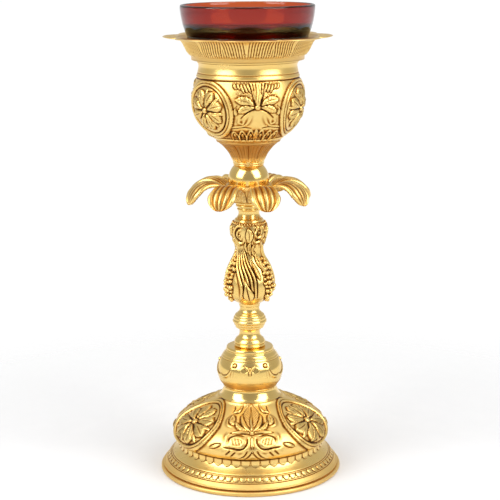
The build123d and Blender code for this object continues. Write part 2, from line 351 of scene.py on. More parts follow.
@dataclass(frozen=True)
class PaleFloor:
    """The plain pale surface that the lamp stands on."""

    name: str = "pale_floor"
    clear: float = 0.13
    edge: float = 0.36

    def build(self) -> bpy.types.Material:
        """Makes the material: near white and matt, with a faint tooth.

        Returns:
            The material.
        """
        sheet = ShaderSheet(self.name)
        place = sheet.places()
        colour = sheet.blend(sheet.noise(place, 60.0, 4.0), rgba(0.76, 0.76, 0.765),
                             rgba(0.79, 0.79, 0.795))
        away = sheet.node("ShaderNodeVectorMath", {"operation": "LENGTH"}, {0: place}, "Value")
        board = sheet.node("ShaderNodeBsdfPrincipled", None,
                           {"Base Color": colour, "Roughness": 0.8,
                            "Alpha": away.between(self.edge, self.clear)})
        return sheet.finish(board)


# ---------------------------------------------------------------------------------------------
# Outlines and relief
# ---------------------------------------------------------------------------------------------


def smooth_points(stations: Path, steps: int = 6) -> list[Point]:
    """Runs a smooth curve through the stations.

    Args:
        stations: the points that the curve passes through.
        steps: the number of points between two stations.

    Returns:
        The curve's points, both ends included.
    """
    knots = np.array(stations, float)
    ahead = np.vstack([2 * knots[0] - knots[1], knots, 2 * knots[-1] - knots[-2]])
    curve: list[Point] = []
    for index in range(len(knots) - 1):
        before, start, end, after = ahead[index:index + 4]
        for t in np.arange(steps) / steps:
            place = 0.5 * (2 * start + (end - before) * t
                           + (2 * before - 5 * start + 4 * end - after) * t * t
                           + (3 * start - before - 3 * end + after) * t ** 3)
            curve.append((float(place[0]), float(place[1])))
    curve.append((float(knots[-1][0]), float(knots[-1][1])))
    return curve


def walked(points: Array) -> Array:
    """Returns how far along a path each of its points is."""
    return np.append(0.0, np.cumsum(np.hypot(*np.diff(points, axis=0).T)))


def spaced(points: Array, distances: Array) -> Array:
    """Returns the places that lie at the given distances along a path."""
    walk = walked(points)
    return np.column_stack([np.interp(distances, walk, points[:, k]) for k in (0, 1)])


def heading(points: Array) -> Array:
    """Returns the unit direction of a path at each of its points."""
    slope = np.gradient(points, axis=0)
    return slope / np.maximum(np.hypot(*slope.T), 1e-9)[:, None]


def handed(side: int, *places: Point) -> list[Point]:
    """Returns places as given for a side of 1, or mirrored left for right for -1."""
    return [(across * side, up) for across, up in places]


def swept(side: int, *places: Point, steps: int = 6) -> list[Point]:
    """Returns a smooth curve through places that are mirrored for a side of -1."""
    return smooth_points(handed(side, *places), steps)


class Turning:
    """The outline of a turned or spun piece, drawn up its outside in millimetres."""

    arc_steps = 12

    def __init__(self, radius: float, height: float) -> None:
        """Starts at a radius and a height."""
        self.points: list[Point] = [(radius, height)]

    def to(self, *stations: Point) -> "Turning":
        """Goes straight from place to place, with a fine break at each corner.

        Args:
            stations: the corners, each a radius and a height.

        Returns:
            The same outline.
        """
        for station in stations:
            start = np.array(self.points[-1])
            run = np.array(station) - start
            for part in (0.06, 0.5, 0.94, 1.0):
                self.points.append(tuple(start + run * part))
        return self

    def curve(self, *stations: Point, steps: int = 10) -> "Turning":
        """Goes on a smooth curve through the stations."""
        self.points += smooth_points([self.points[-1], *stations], steps)[1:]
        return self

    def bead(self, radius: float, height: float, swell: float) -> "Turning":
        """Goes to a place on an arc that swells outwards, or inwards if swell is negative.

        Args:
            radius: the radius at the arc's end.
            height: the height at the arc's end.
            swell: how far the arc's middle stands out.

        Returns:
            The same outline.
        """
        start = np.array(self.points[-1])
        end = np.array((radius, height))
        run = end - start
        side = np.array((run[1], -run[0])) / max(float(np.hypot(*run)), 1e-9)
        for t in np.arange(1, self.arc_steps + 1) / self.arc_steps:
            self.points.append(tuple(start + run * t + side * swell * math.sin(math.pi * t) ** 0.8))
        return self


@dataclass
class Outline:
    """A closed section: the outside that carries the relief, and the way back up the inside."""

    outside: Array
    back: Array
    inside_points: ClassVar[int] = 40

    @classmethod
    def shell(cls, points: Path, spacing: float, floor: Optional[float] = None,
              roof: Optional[float] = None) -> "Outline":
        """Makes the section of a thin shell.

        Args:
            points: the outside, from the bottom up, in millimetres.
            spacing: the wanted distance between points of the outside.
            floor: the radius that the turned-in bottom reaches, or None.
            roof: the radius that the turned-in top reaches, or None.

        Returns:
            The section.
        """
        raw = np.array(points, float)
        raw = raw[np.append(True, np.hypot(*np.diff(raw, axis=0).T) > 1e-6)]
        length = walked(raw)[-1]
        count = max(int(length / spacing), 8)
        outside = spaced(raw, np.linspace(0.0, length, count + 1))
        coarse = outside[::max(count // cls.inside_points, 1)]
        if not np.allclose(coarse[-1], outside[-1]):
            coarse = np.vstack([coarse, outside[-1]])
        slope = heading(coarse)
        inner = coarse + np.column_stack([-slope[:, 1], slope[:, 0]]) * WALL
        (foot, low), (head, high) = outside[0].tolist(), outside[-1].tolist()
        inner[0] = (inner[0, 0], low + WALL) if floor is not None else (foot - WALL, low)
        inner[-1] = (inner[-1, 0], high - WALL) if roof is not None else (head - WALL, high)
        back = []
        if roof is not None:
            back += [(roof, high), (roof, high - WALL)]
        back += [tuple(place) for place in inner[::-1]]
        if floor is not None:
            back += [(floor, low + WALL), (floor, low)]
        return cls(outside, np.array(back))

    @classmethod
    def solid(cls, points: Path, bore: float, spacing: float) -> "Outline":
        """Makes the section of a solid turned piece with a bore, in millimetres.

        Args:
            points: the outside, from the bottom up, in millimetres.
            bore: the radius of the bore.
            spacing: the wanted distance between points of the outside.

        Returns:
            The section.
        """
        made = cls.shell(points, spacing)
        top = float(made.outside[-1, 1])
        bottom = float(made.outside[0, 1])
        made.back = np.array([(bore, top), (bore, (top + bottom) / 2), (bore, bottom)])
        return made

    @property
    def rise(self) -> Array:
        """The distance walked up the outside at each of its points."""
        return walked(self.outside)


class Relief:
    """Chased and embossed work over a plate: a height at each point, in millimetres."""

    midrib = 0.28     # half width of the groove down a leaf
    cut = 0.25        # half width of the groove round a leaf
    boss_cut = 0.22   # half width of the groove round a boss

    def __init__(self, across: Array, up: Array) -> None:
        """Starts flat over the points given.

        Args:
            across: each point's place round the piece.
            up: each point's place up the outline.
        """
        self.across = across
        self.up = up
        self.height = np.zeros_like(across)
        self.matted_and_shaded = np.zeros_like(across)

    def _near(self, path: Path, reach: float) -> tuple[tuple, Array, Array, float]:
        """Finds the points near a path.

        Args:
            path: the path's points.
            reach: how far from the path's box a point may be.

        Returns:
            The chosen points' index, their distance to the path, how far along it they are from
            0 to 1, and the path's length.
        """
        line = np.array(path, float)
        low = line.min(axis=0) - reach
        high = line.max(axis=0) + reach
        index = np.nonzero((self.across > low[0]) & (self.across < high[0])
                           & (self.up > low[1]) & (self.up < high[1]))
        x = self.across[index]
        y = self.up[index]
        lengths = np.hypot(*np.diff(line, axis=0).T)
        total = float(lengths.sum())
        best = np.full(x.shape, 1e9)
        along = np.zeros_like(x)
        walked = 0.0
        for start, end, length in zip(line[:-1], line[1:], lengths):
            run = (end - start) / max(float(length), 1e-9)
            t = np.clip((x - start[0]) * run[0] + (y - start[1]) * run[1], 0, length)
            off = np.hypot(x - start[0] - run[0] * t, y - start[1] - run[1] * t)
            closer = off < best
            best = np.where(closer, off, best)
            along = np.where(closer, (walked + t) / max(total, 1e-9), along)
            walked += float(length)
        return index, best, along, total

    def line(self, path: Path, width: float, rise: float, taper: bool = True) -> None:
        """Raises a ridge along a path, or sinks a groove if rise is negative.

        Args:
            path: the ridge's points.
            width: half the ridge's width.
            rise: its height.
            taper: whether it dies away at both ends.
        """
        index, off, along, _ = self._near(path, width * 3)
        ends = np.sin(np.pi * np.clip(along, 0.02, 0.98)) ** 0.35 if taper else 1.0
        self.height[index] += rise * ends * np.exp(-(off / width) ** 2)

    def turned(self, *marks: tuple[float, float, float]) -> None:
        """Turns ridges, or grooves where the rise is negative, right round the piece.

        Args:
            marks: the place up the outline, the half width and the rise of each.
        """
        for place, width, rise in marks:
            self.height += rise * np.exp(-((self.up - place) / width) ** 2)

    def leaf(self, path: Path, half: float, rise: float, ribs: float = 0.0, slant: float = 1.0,
             fullness: float = 0.75, outline: float = 0.35) -> None:
        """Raises a leaf or petal along a path.

        Args:
            path: the midrib, from the root to the tip.
            half: half the width at the widest place.
            rise: the height of the leaf's back.
            ribs: the pitch of its side ribs, or 0 for a smooth leaf.
            slant: how far the side ribs run forward as they leave the midrib.
            fullness: where the leaf is widest, from 0 at the root to 1 at the tip.
            outline: the depth of the groove cut round it.
        """
        index, off, along, length = self._near(smooth_points(path), half * 1.6)
        power = math.log(0.5) / math.log(fullness)
        width = half * np.sin(np.pi * np.clip(along, 0.0, 1.0) ** power) ** 0.8 + 0.02
        share = off / width
        body = rise * np.sqrt(np.clip(1.0 - share ** 2, 0.0, 1.0))
        body -= 0.45 * rise * np.exp(-(off / self.midrib) ** 2)
        if ribs > 0:
            wave = np.cos(2 * np.pi * (along * length - off * slant) / ribs)
            body += 0.22 * rise * wave * np.clip(share * 3, 0, 1) * (share < 1)
        inside = share < 1.0
        lip = np.exp(-((off - width) / self.cut) ** 2) * (along > 0.02) * (along < 0.99)
        old = self.height[index]
        self.height[index] = np.where(inside, np.maximum(old, body), old) - outline * lip
        matted_and_shaded = self.matted_and_shaded[index]
        self.matted_and_shaded[index] = np.where(inside, 0.0, matted_and_shaded)

    def _outside(self, centre: Point, radii: Point) -> Array:
        """Returns about how far outside an ellipse each point is, negative inside it."""
        share = np.hypot((self.across - centre[0]) / radii[0], (self.up - centre[1]) / radii[1])
        return (share - 1.0) * (radii[0] + radii[1]) / 2

    def ring(self, centre: Point, radii: Point, width: float, rise: float) -> None:
        """Raises a round moulding on an ellipse, or sinks a groove if rise is negative."""
        self.height += rise * np.exp(-(self._outside(centre, radii) / width) ** 2)

    def within(self, centre: Point, radii: Point) -> Array:
        """Returns how far inside an ellipse each point is: 1 well inside and 0 outside."""
        return np.clip(-self._outside(centre, radii) / 0.35 + 0.5, 0.0, 1.0)

    def boss(self, centre: Point, radius: float, rise: float, outline: float = 0.25) -> None:
        """Raises a round boss with a groove round its foot.

        Args:
            centre: the middle of the boss.
            radius: its radius.
            rise: its height.
            outline: the depth of the groove.
        """
        off = np.hypot(self.across - centre[0], self.up - centre[1])
        body = rise * np.sqrt(np.clip(1.0 - (off / radius) ** 2, 0.0, 1.0))
        self.height = np.where(off < radius, np.maximum(self.height, body), self.height)
        self.height -= outline * np.exp(-((off - radius) / self.boss_cut) ** 2)
        self.matted_and_shaded = np.where(off < radius, 0.0, self.matted_and_shaded)

    def rosette(self, centre: Point, radii: Point, petals: int, turn: float = 0.0,
                rise: float = 0.85) -> None:
        """Raises a rosette of ribbed petals with thin sepals between them and a boss.

        Args:
            centre: the middle of the rosette.
            radii: its half width and half height.
            petals: the number of petals.
            turn: the first petal's angle in radians.
            rise: the height of a petal.
        """
        middle = np.array(centre)
        for petal in range(petals):
            angle = turn + 2 * math.pi * petal / petals
            reach = np.array((math.cos(angle) * radii[0], math.sin(angle) * radii[1]))
            aside = np.array((-math.sin(angle), math.cos(angle))) * 0.05 * radii[0]
            path = [tuple(middle + reach * 0.12), tuple(middle + reach * 0.55 + aside),
                    tuple(middle + reach * 0.98)]
            self.leaf(path, radii[0] * 0.25, rise, ribs=1.5, slant=1.2, fullness=0.66)
        for sepal in range(petals):
            angle = turn + 2 * math.pi * (sepal + 0.5) / petals
            reach = np.array((math.cos(angle) * radii[0], math.sin(angle) * radii[1]))
            self.leaf([tuple(middle + reach * 0.2), tuple(middle + reach * 0.6),
                       tuple(middle + reach * 1.02)], radii[0] * 0.07, rise * 0.55,
                      fullness=0.7, outline=0.2)
        self.boss(centre, radii[0] * 0.13, rise * 1.15)


def sharpness(height: Array, reach: int) -> Array:
    """Returns how far each point lies below its surroundings, from 0 to 1 where deep; the gilding
    paints shade by it.

    Args:
        height: heights over a grid whose first axis runs round and closes on itself.
        reach: half the width of the surroundings, in grid steps.

    Returns:
        The depth as a share of the usual depth of a groove.
    """
    spread = height.copy()
    for axis in (0, 1):
        total = np.zeros_like(spread)
        for shift in range(-reach, reach + 1):
            if axis == 0:
                total += np.roll(spread, shift, axis=0)
            else:
                rows = np.clip(np.arange(spread.shape[1]) + shift, 0, spread.shape[1] - 1)
                total += spread[:, rows]
        spread = total / (2 * reach + 1)
    return np.clip((spread - height) / GROOVE_DEPTH, 0.0, 1.0)


# ---------------------------------------------------------------------------------------------
# Meshes
# ---------------------------------------------------------------------------------------------


def new_mesh(name: str, corners: Array, faces: Array,
             values: dict[str, Array]) -> bpy.types.Object:
    """Makes an object from arrays.

    Args:
        name: the piece's name.
        corners: points in metres, one row each.
        faces: four or three corner numbers for each face.
        values: a float attribute's values on the corners, by attribute name.

    Returns:
        The object, linked to the scene.
    """
    mesh = bpy.data.meshes.new(name)
    mesh.vertices.add(len(corners))
    mesh.vertices.foreach_set("co", corners.astype(np.float32).ravel())
    sides = faces.shape[1]
    mesh.loops.add(faces.size)
    mesh.loops.foreach_set("vertex_index", faces.astype(np.int32).ravel())
    mesh.polygons.add(len(faces))
    mesh.polygons.foreach_set("loop_start", np.arange(0, faces.size, sides, dtype=np.int32))
    mesh.polygons.foreach_set("use_smooth", np.full(len(faces), True))
    mesh.update(calc_edges=True)
    for key, value in values.items():
        layer = mesh.attributes.new(key, "FLOAT", "POINT")
        layer.data.foreach_set("value", value.astype(np.float32).ravel())
    mesh.validate()
    piece = bpy.data.objects.new(name, mesh)
    bpy.context.scene.collection.objects.link(piece)
    return piece


def turned_piece(name: str, outline: Outline, columns: int, height: Optional[Array] = None,
                 matted_and_shaded: Optional[Array] = None, start: float = 0.0,
                 reach: int = 4) -> bpy.types.Object:
    """Turns an outline into a closed piece round Z, with relief on its outside.

    Args:
        name: the piece's name.
        outline: the closed section in millimetres.
        columns: the number of steps round.
        height: the relief in millimetres, columns by outside points, or None for plain work.
        matted_and_shaded: where the ground is matted, and where shade is painted as matting, in the
            same shape.
        start: the azimuth of the first column, from -Y towards +X, in degrees.
        reach: how wide the painted shade of a groove spreads, in grid steps.

    Returns:
        The piece.
    """
    outside = outline.outside
    rows = len(outside)
    if height is None:
        height = np.zeros((columns, rows))
    if matted_and_shaded is None:
        matted_and_shaded = np.zeros((columns, rows))
    fade = np.clip(np.minimum(np.arange(rows), np.arange(rows)[::-1]) / 2.0, 0.0, 1.0)
    height = height * fade
    slope = heading(outside)
    radius = outside[:, 0] + slope[:, 1] * height
    level = outside[:, 1] - slope[:, 0] * height
    back = outline.back
    radius = np.hstack([radius, np.tile(back[:, 0], (columns, 1))])
    level = np.hstack([level, np.tile(back[:, 1], (columns, 1))])
    angle = np.radians(start) + np.arange(columns) * 2 * np.pi / columns
    corners = np.stack([radius * np.sin(angle)[:, None], -radius * np.cos(angle)[:, None], level],
                       axis=-1).reshape(-1, 3) * MM
    count = rows + len(back)
    column = np.arange(columns)[:, None]
    row = np.arange(count)[None, :]
    here = column * count + row
    there = ((column + 1) % columns) * count + row
    up = (row + 1) % count
    faces = np.stack([here, there, ((column + 1) % columns) * count + up, column * count + up],
                     axis=-1).reshape(-1, 4)
    # Painted shade: grooves darken with their depth, and the inside faces get a fixed painted shade of
    # 0.25.
    deep = np.hstack([sharpness(height, reach), np.full((columns, len(back)), 0.25)])
    rough = np.hstack([matted_and_shaded, np.zeros((columns, len(back)))])
    return new_mesh(name, corners, faces, {"recess": deep, "matted_and_shaded": rough})


def dress(piece: bpy.types.Object, material: bpy.types.Material, slot: Slot, *nodes: str,
          body: Body = Body.METALWORK) -> None:
    """Gives a piece its material and body, and hides the CAD nodes that it stands for.

    Args:
        piece: the finished piece.
        material: its material.
        slot: its material slot; not used.
        nodes: the CAD nodes that it stands for.
        body: the body that it rides on.
    """
    piece.data.materials.clear()
    piece.data.materials.append(material)
    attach(piece, body.value)
    if nodes:
        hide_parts(*nodes)
    LOG.info("%s: %d faces", piece.name, len(piece.data.polygons))


# ---------------------------------------------------------------------------------------------
# Geometry Nodes
# ---------------------------------------------------------------------------------------------


class NodeRow:
    """A Geometry Nodes tree with named inputs, run once and turned into a plain mesh."""

    def __init__(self, name: str, sizes: dict[str, float]) -> None:
        """Makes the tree and one float or integer input for each size.

        Args:
            name: the tree's name and the piece's.
            sizes: a value for each named input.
        """
        self.name = name
        self.sizes = sizes
        self.tree = bpy.data.node_groups.new(name, "GeometryNodeTree")
        face = self.tree.interface
        face.new_socket("Geometry", in_out="INPUT", socket_type="NodeSocketGeometry")
        for key, value in sizes.items():
            kind = "NodeSocketInt" if isinstance(value, int) else "NodeSocketFloat"
            face.new_socket(key, in_out="INPUT", socket_type=kind)
        face.new_socket("Geometry", in_out="OUTPUT", socket_type="NodeSocketGeometry")
        self.source = self.tree.nodes.new("NodeGroupInput")
        self.sink = self.tree.nodes.new("NodeGroupOutput")

    def node(self, kind: str, settings: Optional[dict] = None, inputs: Optional[dict] = None,
             output: Union[str, int] = 0) -> bpy.types.NodeSocket:
        """Adds a node of a type with settings and inputs, and returns one of its outputs.

        Args:
            kind: the node's type name.
            settings: attributes set first.
            inputs: a value or a socket for each input, by name or number.
            output: the output wanted.

        Returns:
            The wanted output.
        """
        made = self.tree.nodes.new(kind)
        for key, value in (settings or {}).items():
            setattr(made, key, value)
        for key, value in (inputs or {}).items():
            if isinstance(value, bpy.types.NodeSocket):
                self.tree.links.new(value, made.inputs[key])
            else:
                made.inputs[key].default_value = value
        return made.outputs[output]

    def size(self, key: str) -> bpy.types.NodeSocket:
        """Returns a named input."""
        return self.source.outputs[key]

    def maths(self, operation: str, first: Union[bpy.types.NodeSocket, float],
              second: Union[bpy.types.NodeSocket, float]) -> bpy.types.NodeSocket:
        """Adds one Math node."""
        return self.node("ShaderNodeMath", {"operation": operation}, {0: first, 1: second})

    def run(self, result: bpy.types.NodeSocket, material: bpy.types.Material,
            seed: bpy.types.Object) -> bpy.types.Object:
        """Ends the tree, runs it on a seed mesh and returns the plain piece.

        Args:
            result: the geometry that the tree makes, which may hold instances.
            material: the material that Set Material gives.
            seed: the object whose mesh goes in; it is removed.

        Returns:
            A new object with the finished mesh and no modifier.
        """
        real = self.node("GeometryNodeRealizeInstances", None, {0: result})
        dressed = self.node("GeometryNodeSetMaterial", None, {0: real, "Material": material})
        self.tree.links.new(dressed, self.sink.inputs[0])
        modifier = seed.modifiers.new(self.name, "NODES")
        modifier.node_group = self.tree
        for item in self.tree.interface.items_tree:
            if item.in_out == "INPUT" and item.name in self.sizes:
                modifier[item.identifier] = self.sizes[item.name]
        bpy.context.view_layer.update()
        graph = bpy.context.evaluated_depsgraph_get()
        mesh = bpy.data.meshes.new_from_object(seed.evaluated_get(graph), depsgraph=graph)
        mesh.name = self.name
        bpy.data.objects.remove(seed)
        piece = bpy.data.objects.new(self.name, mesh)
        bpy.context.scene.collection.objects.link(piece)
        return piece


def ring_of(name: str, unit: bpy.types.Object, count: int, turn: float,
            material: bpy.types.Material) -> bpy.types.Object:
    """Sets copies of a unit evenly round Z.

    Args:
        name: the new piece's name.
        unit: one copy, standing in its place at azimuth 0, which is -Y.
        count: the number of copies.
        turn: the azimuth of the first copy in degrees, from -Y towards +X.
        material: the copies' material.

    Returns:
        The ring as one plain mesh.
    """
    row = NodeRow(name, {"Count": count, "Turn": math.radians(turn)})
    points = row.node("GeometryNodePoints", None, {"Count": row.size("Count")})
    index = row.node("GeometryNodeInputIndex")
    step = row.maths("DIVIDE", 2 * math.pi, row.size("Count"))
    angle = row.maths("ADD", row.maths("MULTIPLY", index, step), row.size("Turn"))
    spin = row.node("ShaderNodeCombineXYZ", None, {"Z": angle})
    copies = row.node("GeometryNodeInstanceOnPoints", None,
                      {"Points": points, "Instance": row.source.outputs["Geometry"],
                       "Rotation": spin})
    return row.run(copies, material, unit)


def patch_unit(name: str, path: Path, half: Callable[[float], float], rise: float,
               rows: int = 12, columns: int = 10, flat: float = 2.0) -> bpy.types.Object:
    """Makes one small domed plate on a turned surface, at azimuth 0.

    Args:
        name: the unit's name.
        path: the surface's outline under the plate, in millimetres, from the bottom up.
        half: gives half the plate's width for a share of the path from 0 to 1.
        rise: how far the plate's middle stands out.
        rows: steps along the path.
        columns: steps across.
        flat: the power of the dome; larger is flatter with steeper sides.

    Returns:
        The closed unit.
    """
    walk = np.array(smooth_points(path))
    share = np.linspace(0.0, 1.0, rows)
    place = spaced(walk, share * walked(walk)[-1])
    slope = heading(place)
    spread = np.sin(np.linspace(-1.0, 1.0, columns) * math.pi / 2)
    width = np.array([half(float(t)) for t in share])
    edge = np.minimum(1.0, np.sin(np.pi * share)[:, None] * 2.4)
    dome = (1.0 - np.abs(spread[None, :]) ** flat) * edge
    sunk = 0.08
    root = 0.4
    sheets = []
    for height in (rise * dome - sunk, np.full_like(dome, -root)):
        radius = place[:, 0, None] + slope[:, 1, None] * height
        level = place[:, 1, None] - slope[:, 0, None] * height
        turn = width[:, None] * spread[None, :] / place[:, 0, None]
        sheets.append(np.stack([radius * np.sin(turn), -radius * np.cos(turn), level], axis=-1))
    corners = np.concatenate([sheet.reshape(-1, 3) for sheet in sheets]) * MM
    # Painted shade: each plate darkens towards its edges, as dark crescents round the beads and
    # tongues, and its back gets a fixed painted shade.
    deep = np.concatenate([(1.0 - dome).ravel() * 0.9, np.full(dome.size, 0.8)])
    return new_mesh(name, corners, plate_faces(rows, columns), {"recess": deep,
                                                                "matted_and_shaded": np.zeros_like(deep)})


def plate_faces(rows: int, columns: int) -> Array:
    """Returns the faces of a closed plate whose front grid comes first and back grid second.

    Args:
        rows: points along the plate.
        columns: points across it.

    Returns:
        Four corner numbers for each face, facing outwards.
    """
    back = rows * columns
    grid = np.arange(back).reshape(rows, columns)
    front = np.stack([grid[:-1, :-1], grid[:-1, 1:], grid[1:, 1:], grid[1:, :-1]], axis=-1)
    behind = front[..., ::-1] + back
    rim = np.concatenate([grid[0, :], grid[1:, -1], grid[-1, -2::-1], grid[-2:0:-1, 0]])
    after = np.roll(rim, -1)
    side = np.stack([after, rim, rim + back, after + back], axis=-1)
    return np.concatenate([front.reshape(-1, 4), behind.reshape(-1, 4), side])


@dataclass
class Frieze:
    """A turned piece whose relief repeats round it: one repeat is worked, then set round."""

    outline: Outline
    columns: int
    repeats: int
    middle: float
    scale: float
    origin: float = 0.0

    @property
    def per(self) -> int:
        """The columns in one repeat."""
        return self.columns // self.repeats

    def canvas(self) -> Relief:
        """Returns flat work over one repeat, its middle at 0 and its unit the millimetre.

        Returns:
            The canvas.
        """
        turn = (np.arange(self.per) - self.per // 2) * 360.0 / self.columns
        rise = self.outline.rise - self.origin
        return Relief(np.repeat(turn[:, None] * self.scale, len(rise), axis=1),
                      np.tile(rise, (self.per, 1)))

    def level(self, height: float) -> float:
        """Returns how far up the outline a height in millimetres is reached."""
        return float(np.interp(height, self.outline.outside[:, 1], self.outline.rise)) - self.origin

    def path(self, *places: Point) -> list[Point]:
        """Turns azimuths in degrees and heights in millimetres into places on the canvas."""
        return [(turn * self.scale, self.level(height)) for turn, height in places]

    def make(self, name: str, work: Relief, reach: int = 4) -> bpy.types.Object:
        """Sets the worked repeat round the axis and returns the piece."""
        return turned_piece(name, self.outline, self.columns,
                            np.tile(work.height, (self.repeats, 1)),
                            np.tile(work.matted_and_shaded, (self.repeats, 1)),
                            self.middle - (self.per // 2) * 360.0 / self.columns, reach)


# ---------------------------------------------------------------------------------------------
# Sub-assemblies
# ---------------------------------------------------------------------------------------------


@dataclass
class Foot:
    """The spun foot: rolled rim, beaded band, cove and a row of tongues under the dome."""

    columns: int = 480
    rim_radius: float = 54.8
    roll: float = 1.4
    ledge: float = 36.0
    beads: int = 72
    tongues: int = 48
    wall: Path = ((52.3, 4.7), (51.0, 6.6), (49.6, 8.6), (48.0, 10.4), (45.8, 12.0), (44.0, 13.6),
                  (43.0, 15.0))

    def build(self, material: bpy.types.Material) -> None:
        """Makes the foot's three pieces.

        Args:
            material: the finish.
        """
        middle = self.rim_radius - self.roll
        turn = Turning(middle - self.roll * 0.9, self.roll * 0.55)
        for degrees in range(200, 432, 12):
            angle = math.radians(degrees)
            turn.points.append((middle + self.roll * math.cos(angle),
                                self.roll + self.roll * math.sin(angle)))
        turn.to((52.7, 2.9), (52.6, 3.5), (53.5, 3.75)).curve(*self.wall)
        outline = Outline.shell(turn.points, 0.22, roof=self.ledge)
        frieze = Frieze(outline, self.columns, 1, 0.0, 1.0)
        work = frieze.canvas()
        level = outline.outside[:, 1]
        radius = outline.outside[:, 0]
        under_roll = 20   # outline points on the underside of the rolled rim
        upright = (np.arange(len(level)) > under_roll) & (radius < middle + 0.5)
        for place, width, rise in ((3.2, 0.3, -0.5), (6.75, 0.2, -0.45), (7.1, 0.15, 0.15),
                                   (10.05, 0.16, 0.15), (10.45, 0.22, -0.4)):
            work.height += rise * np.exp(-((level - place) / width) ** 2) * upright
        band = np.clip((level - 7.2) / 0.3, 0, 1) * np.clip((9.9 - level) / 0.3, 0, 1) * upright
        work.height -= 0.3 * band
        work.matted_and_shaded += 1.1 * np.clip((7.0 - level) / 0.4, 0, 1)
        dress(frieze.make("foot_shell", work, reach=2), material, Slot.PRESSED,
              "base_foot")
        row = [(50.55, 7.35), (49.65, 8.6), (48.65, 9.85)]
        bead = patch_unit("bead", row, lambda t: 2.12 * min(1.0, t * 2.1 + 0.01) ** 0.5, 0.34,
                          rows=9, columns=9, flat=5.0)
        beads = ring_of("foot_bead_border", bead, self.beads, 0.0, material)
        dress(beads, material, Slot.PRESSED)
        hem = [(44.05, 13.95), (43.45, 15.0), (43.3, 16.4), (43.35, 18.3)]
        tongue = patch_unit("tongue", hem, lambda t: 2.75 * min(1.0, (t * 2.0 + 0.01)) ** 0.5, 0.28,
                            rows=14, columns=14, flat=8.0)
        tongues = ring_of("foot_tongue_border", tongue, self.tongues, 3.75, material)
        dress(tongues, material, Slot.PRESSED)


@dataclass
class Medallion:
    """A framed rosette, worked on its own repeat and let into a frieze half a repeat round."""

    frame: tuple[Point, Point]
    field: tuple[Point, Point]
    centre: Point
    petals: Point
    corner: Optional[Point] = None

    def work(self, frieze: Frieze) -> tuple[Relief, Array]:
        """Works the medallion.

        Args:
            frieze: the piece that it is let into.

        Returns:
            The work, and its mask, both turned half a repeat to lie between the panels.
        """
        work = frieze.canvas()
        mask = work.within(*self.frame)
        hollow = work.within(*self.field)
        if self.corner is not None:
            reach, low = self.corner
            span = np.interp(work.up, [low, self.frame[0][1]], [reach, self.frame[1][0]])
            mask = np.maximum(mask, np.clip((span - np.abs(work.across)) / 0.5, 0, 1)
                              * (work.up > low) * (work.up < self.frame[0][1]))
        work.matted_and_shaded = hollow * 0.1
        work.height = 0.75 * mask * (1.0 - hollow)
        for out, width, rise in ((0.0, 0.4, -0.75), (0.9, 0.35, 0.3), (1.7, 0.28, -0.5)):
            work.ring(self.field[0], (self.field[1][0] + out, self.field[1][1] + out), width, rise)
        work.rosette(self.centre, self.petals, 8, turn=0.26, rise=1.0)
        half = frieze.per // 2
        work.height = np.roll(work.height, half, axis=0)
        work.matted_and_shaded = np.roll(work.matted_and_shaded, half, axis=0)
        return work, np.roll(mask, half, axis=0)

    def let_into(self, frieze: Frieze, panel: Relief) -> Relief:
        """Returns the panel with the medallion let in and a groove cut round it.

        Args:
            frieze: the piece.
            panel: the work round the medallion.

        Returns:
            The panel with its medallion.
        """
        work, mask = self.work(frieze)
        edge = np.exp(-((mask - 0.5) / 0.42) ** 2) * (mask > 0.01) * (mask < 0.99)
        panel.height = panel.height * (1.0 - mask) + work.height * mask - 0.85 * edge
        panel.matted_and_shaded = panel.matted_and_shaded * (1.0 - mask) + work.matted_and_shaded * mask
        return panel


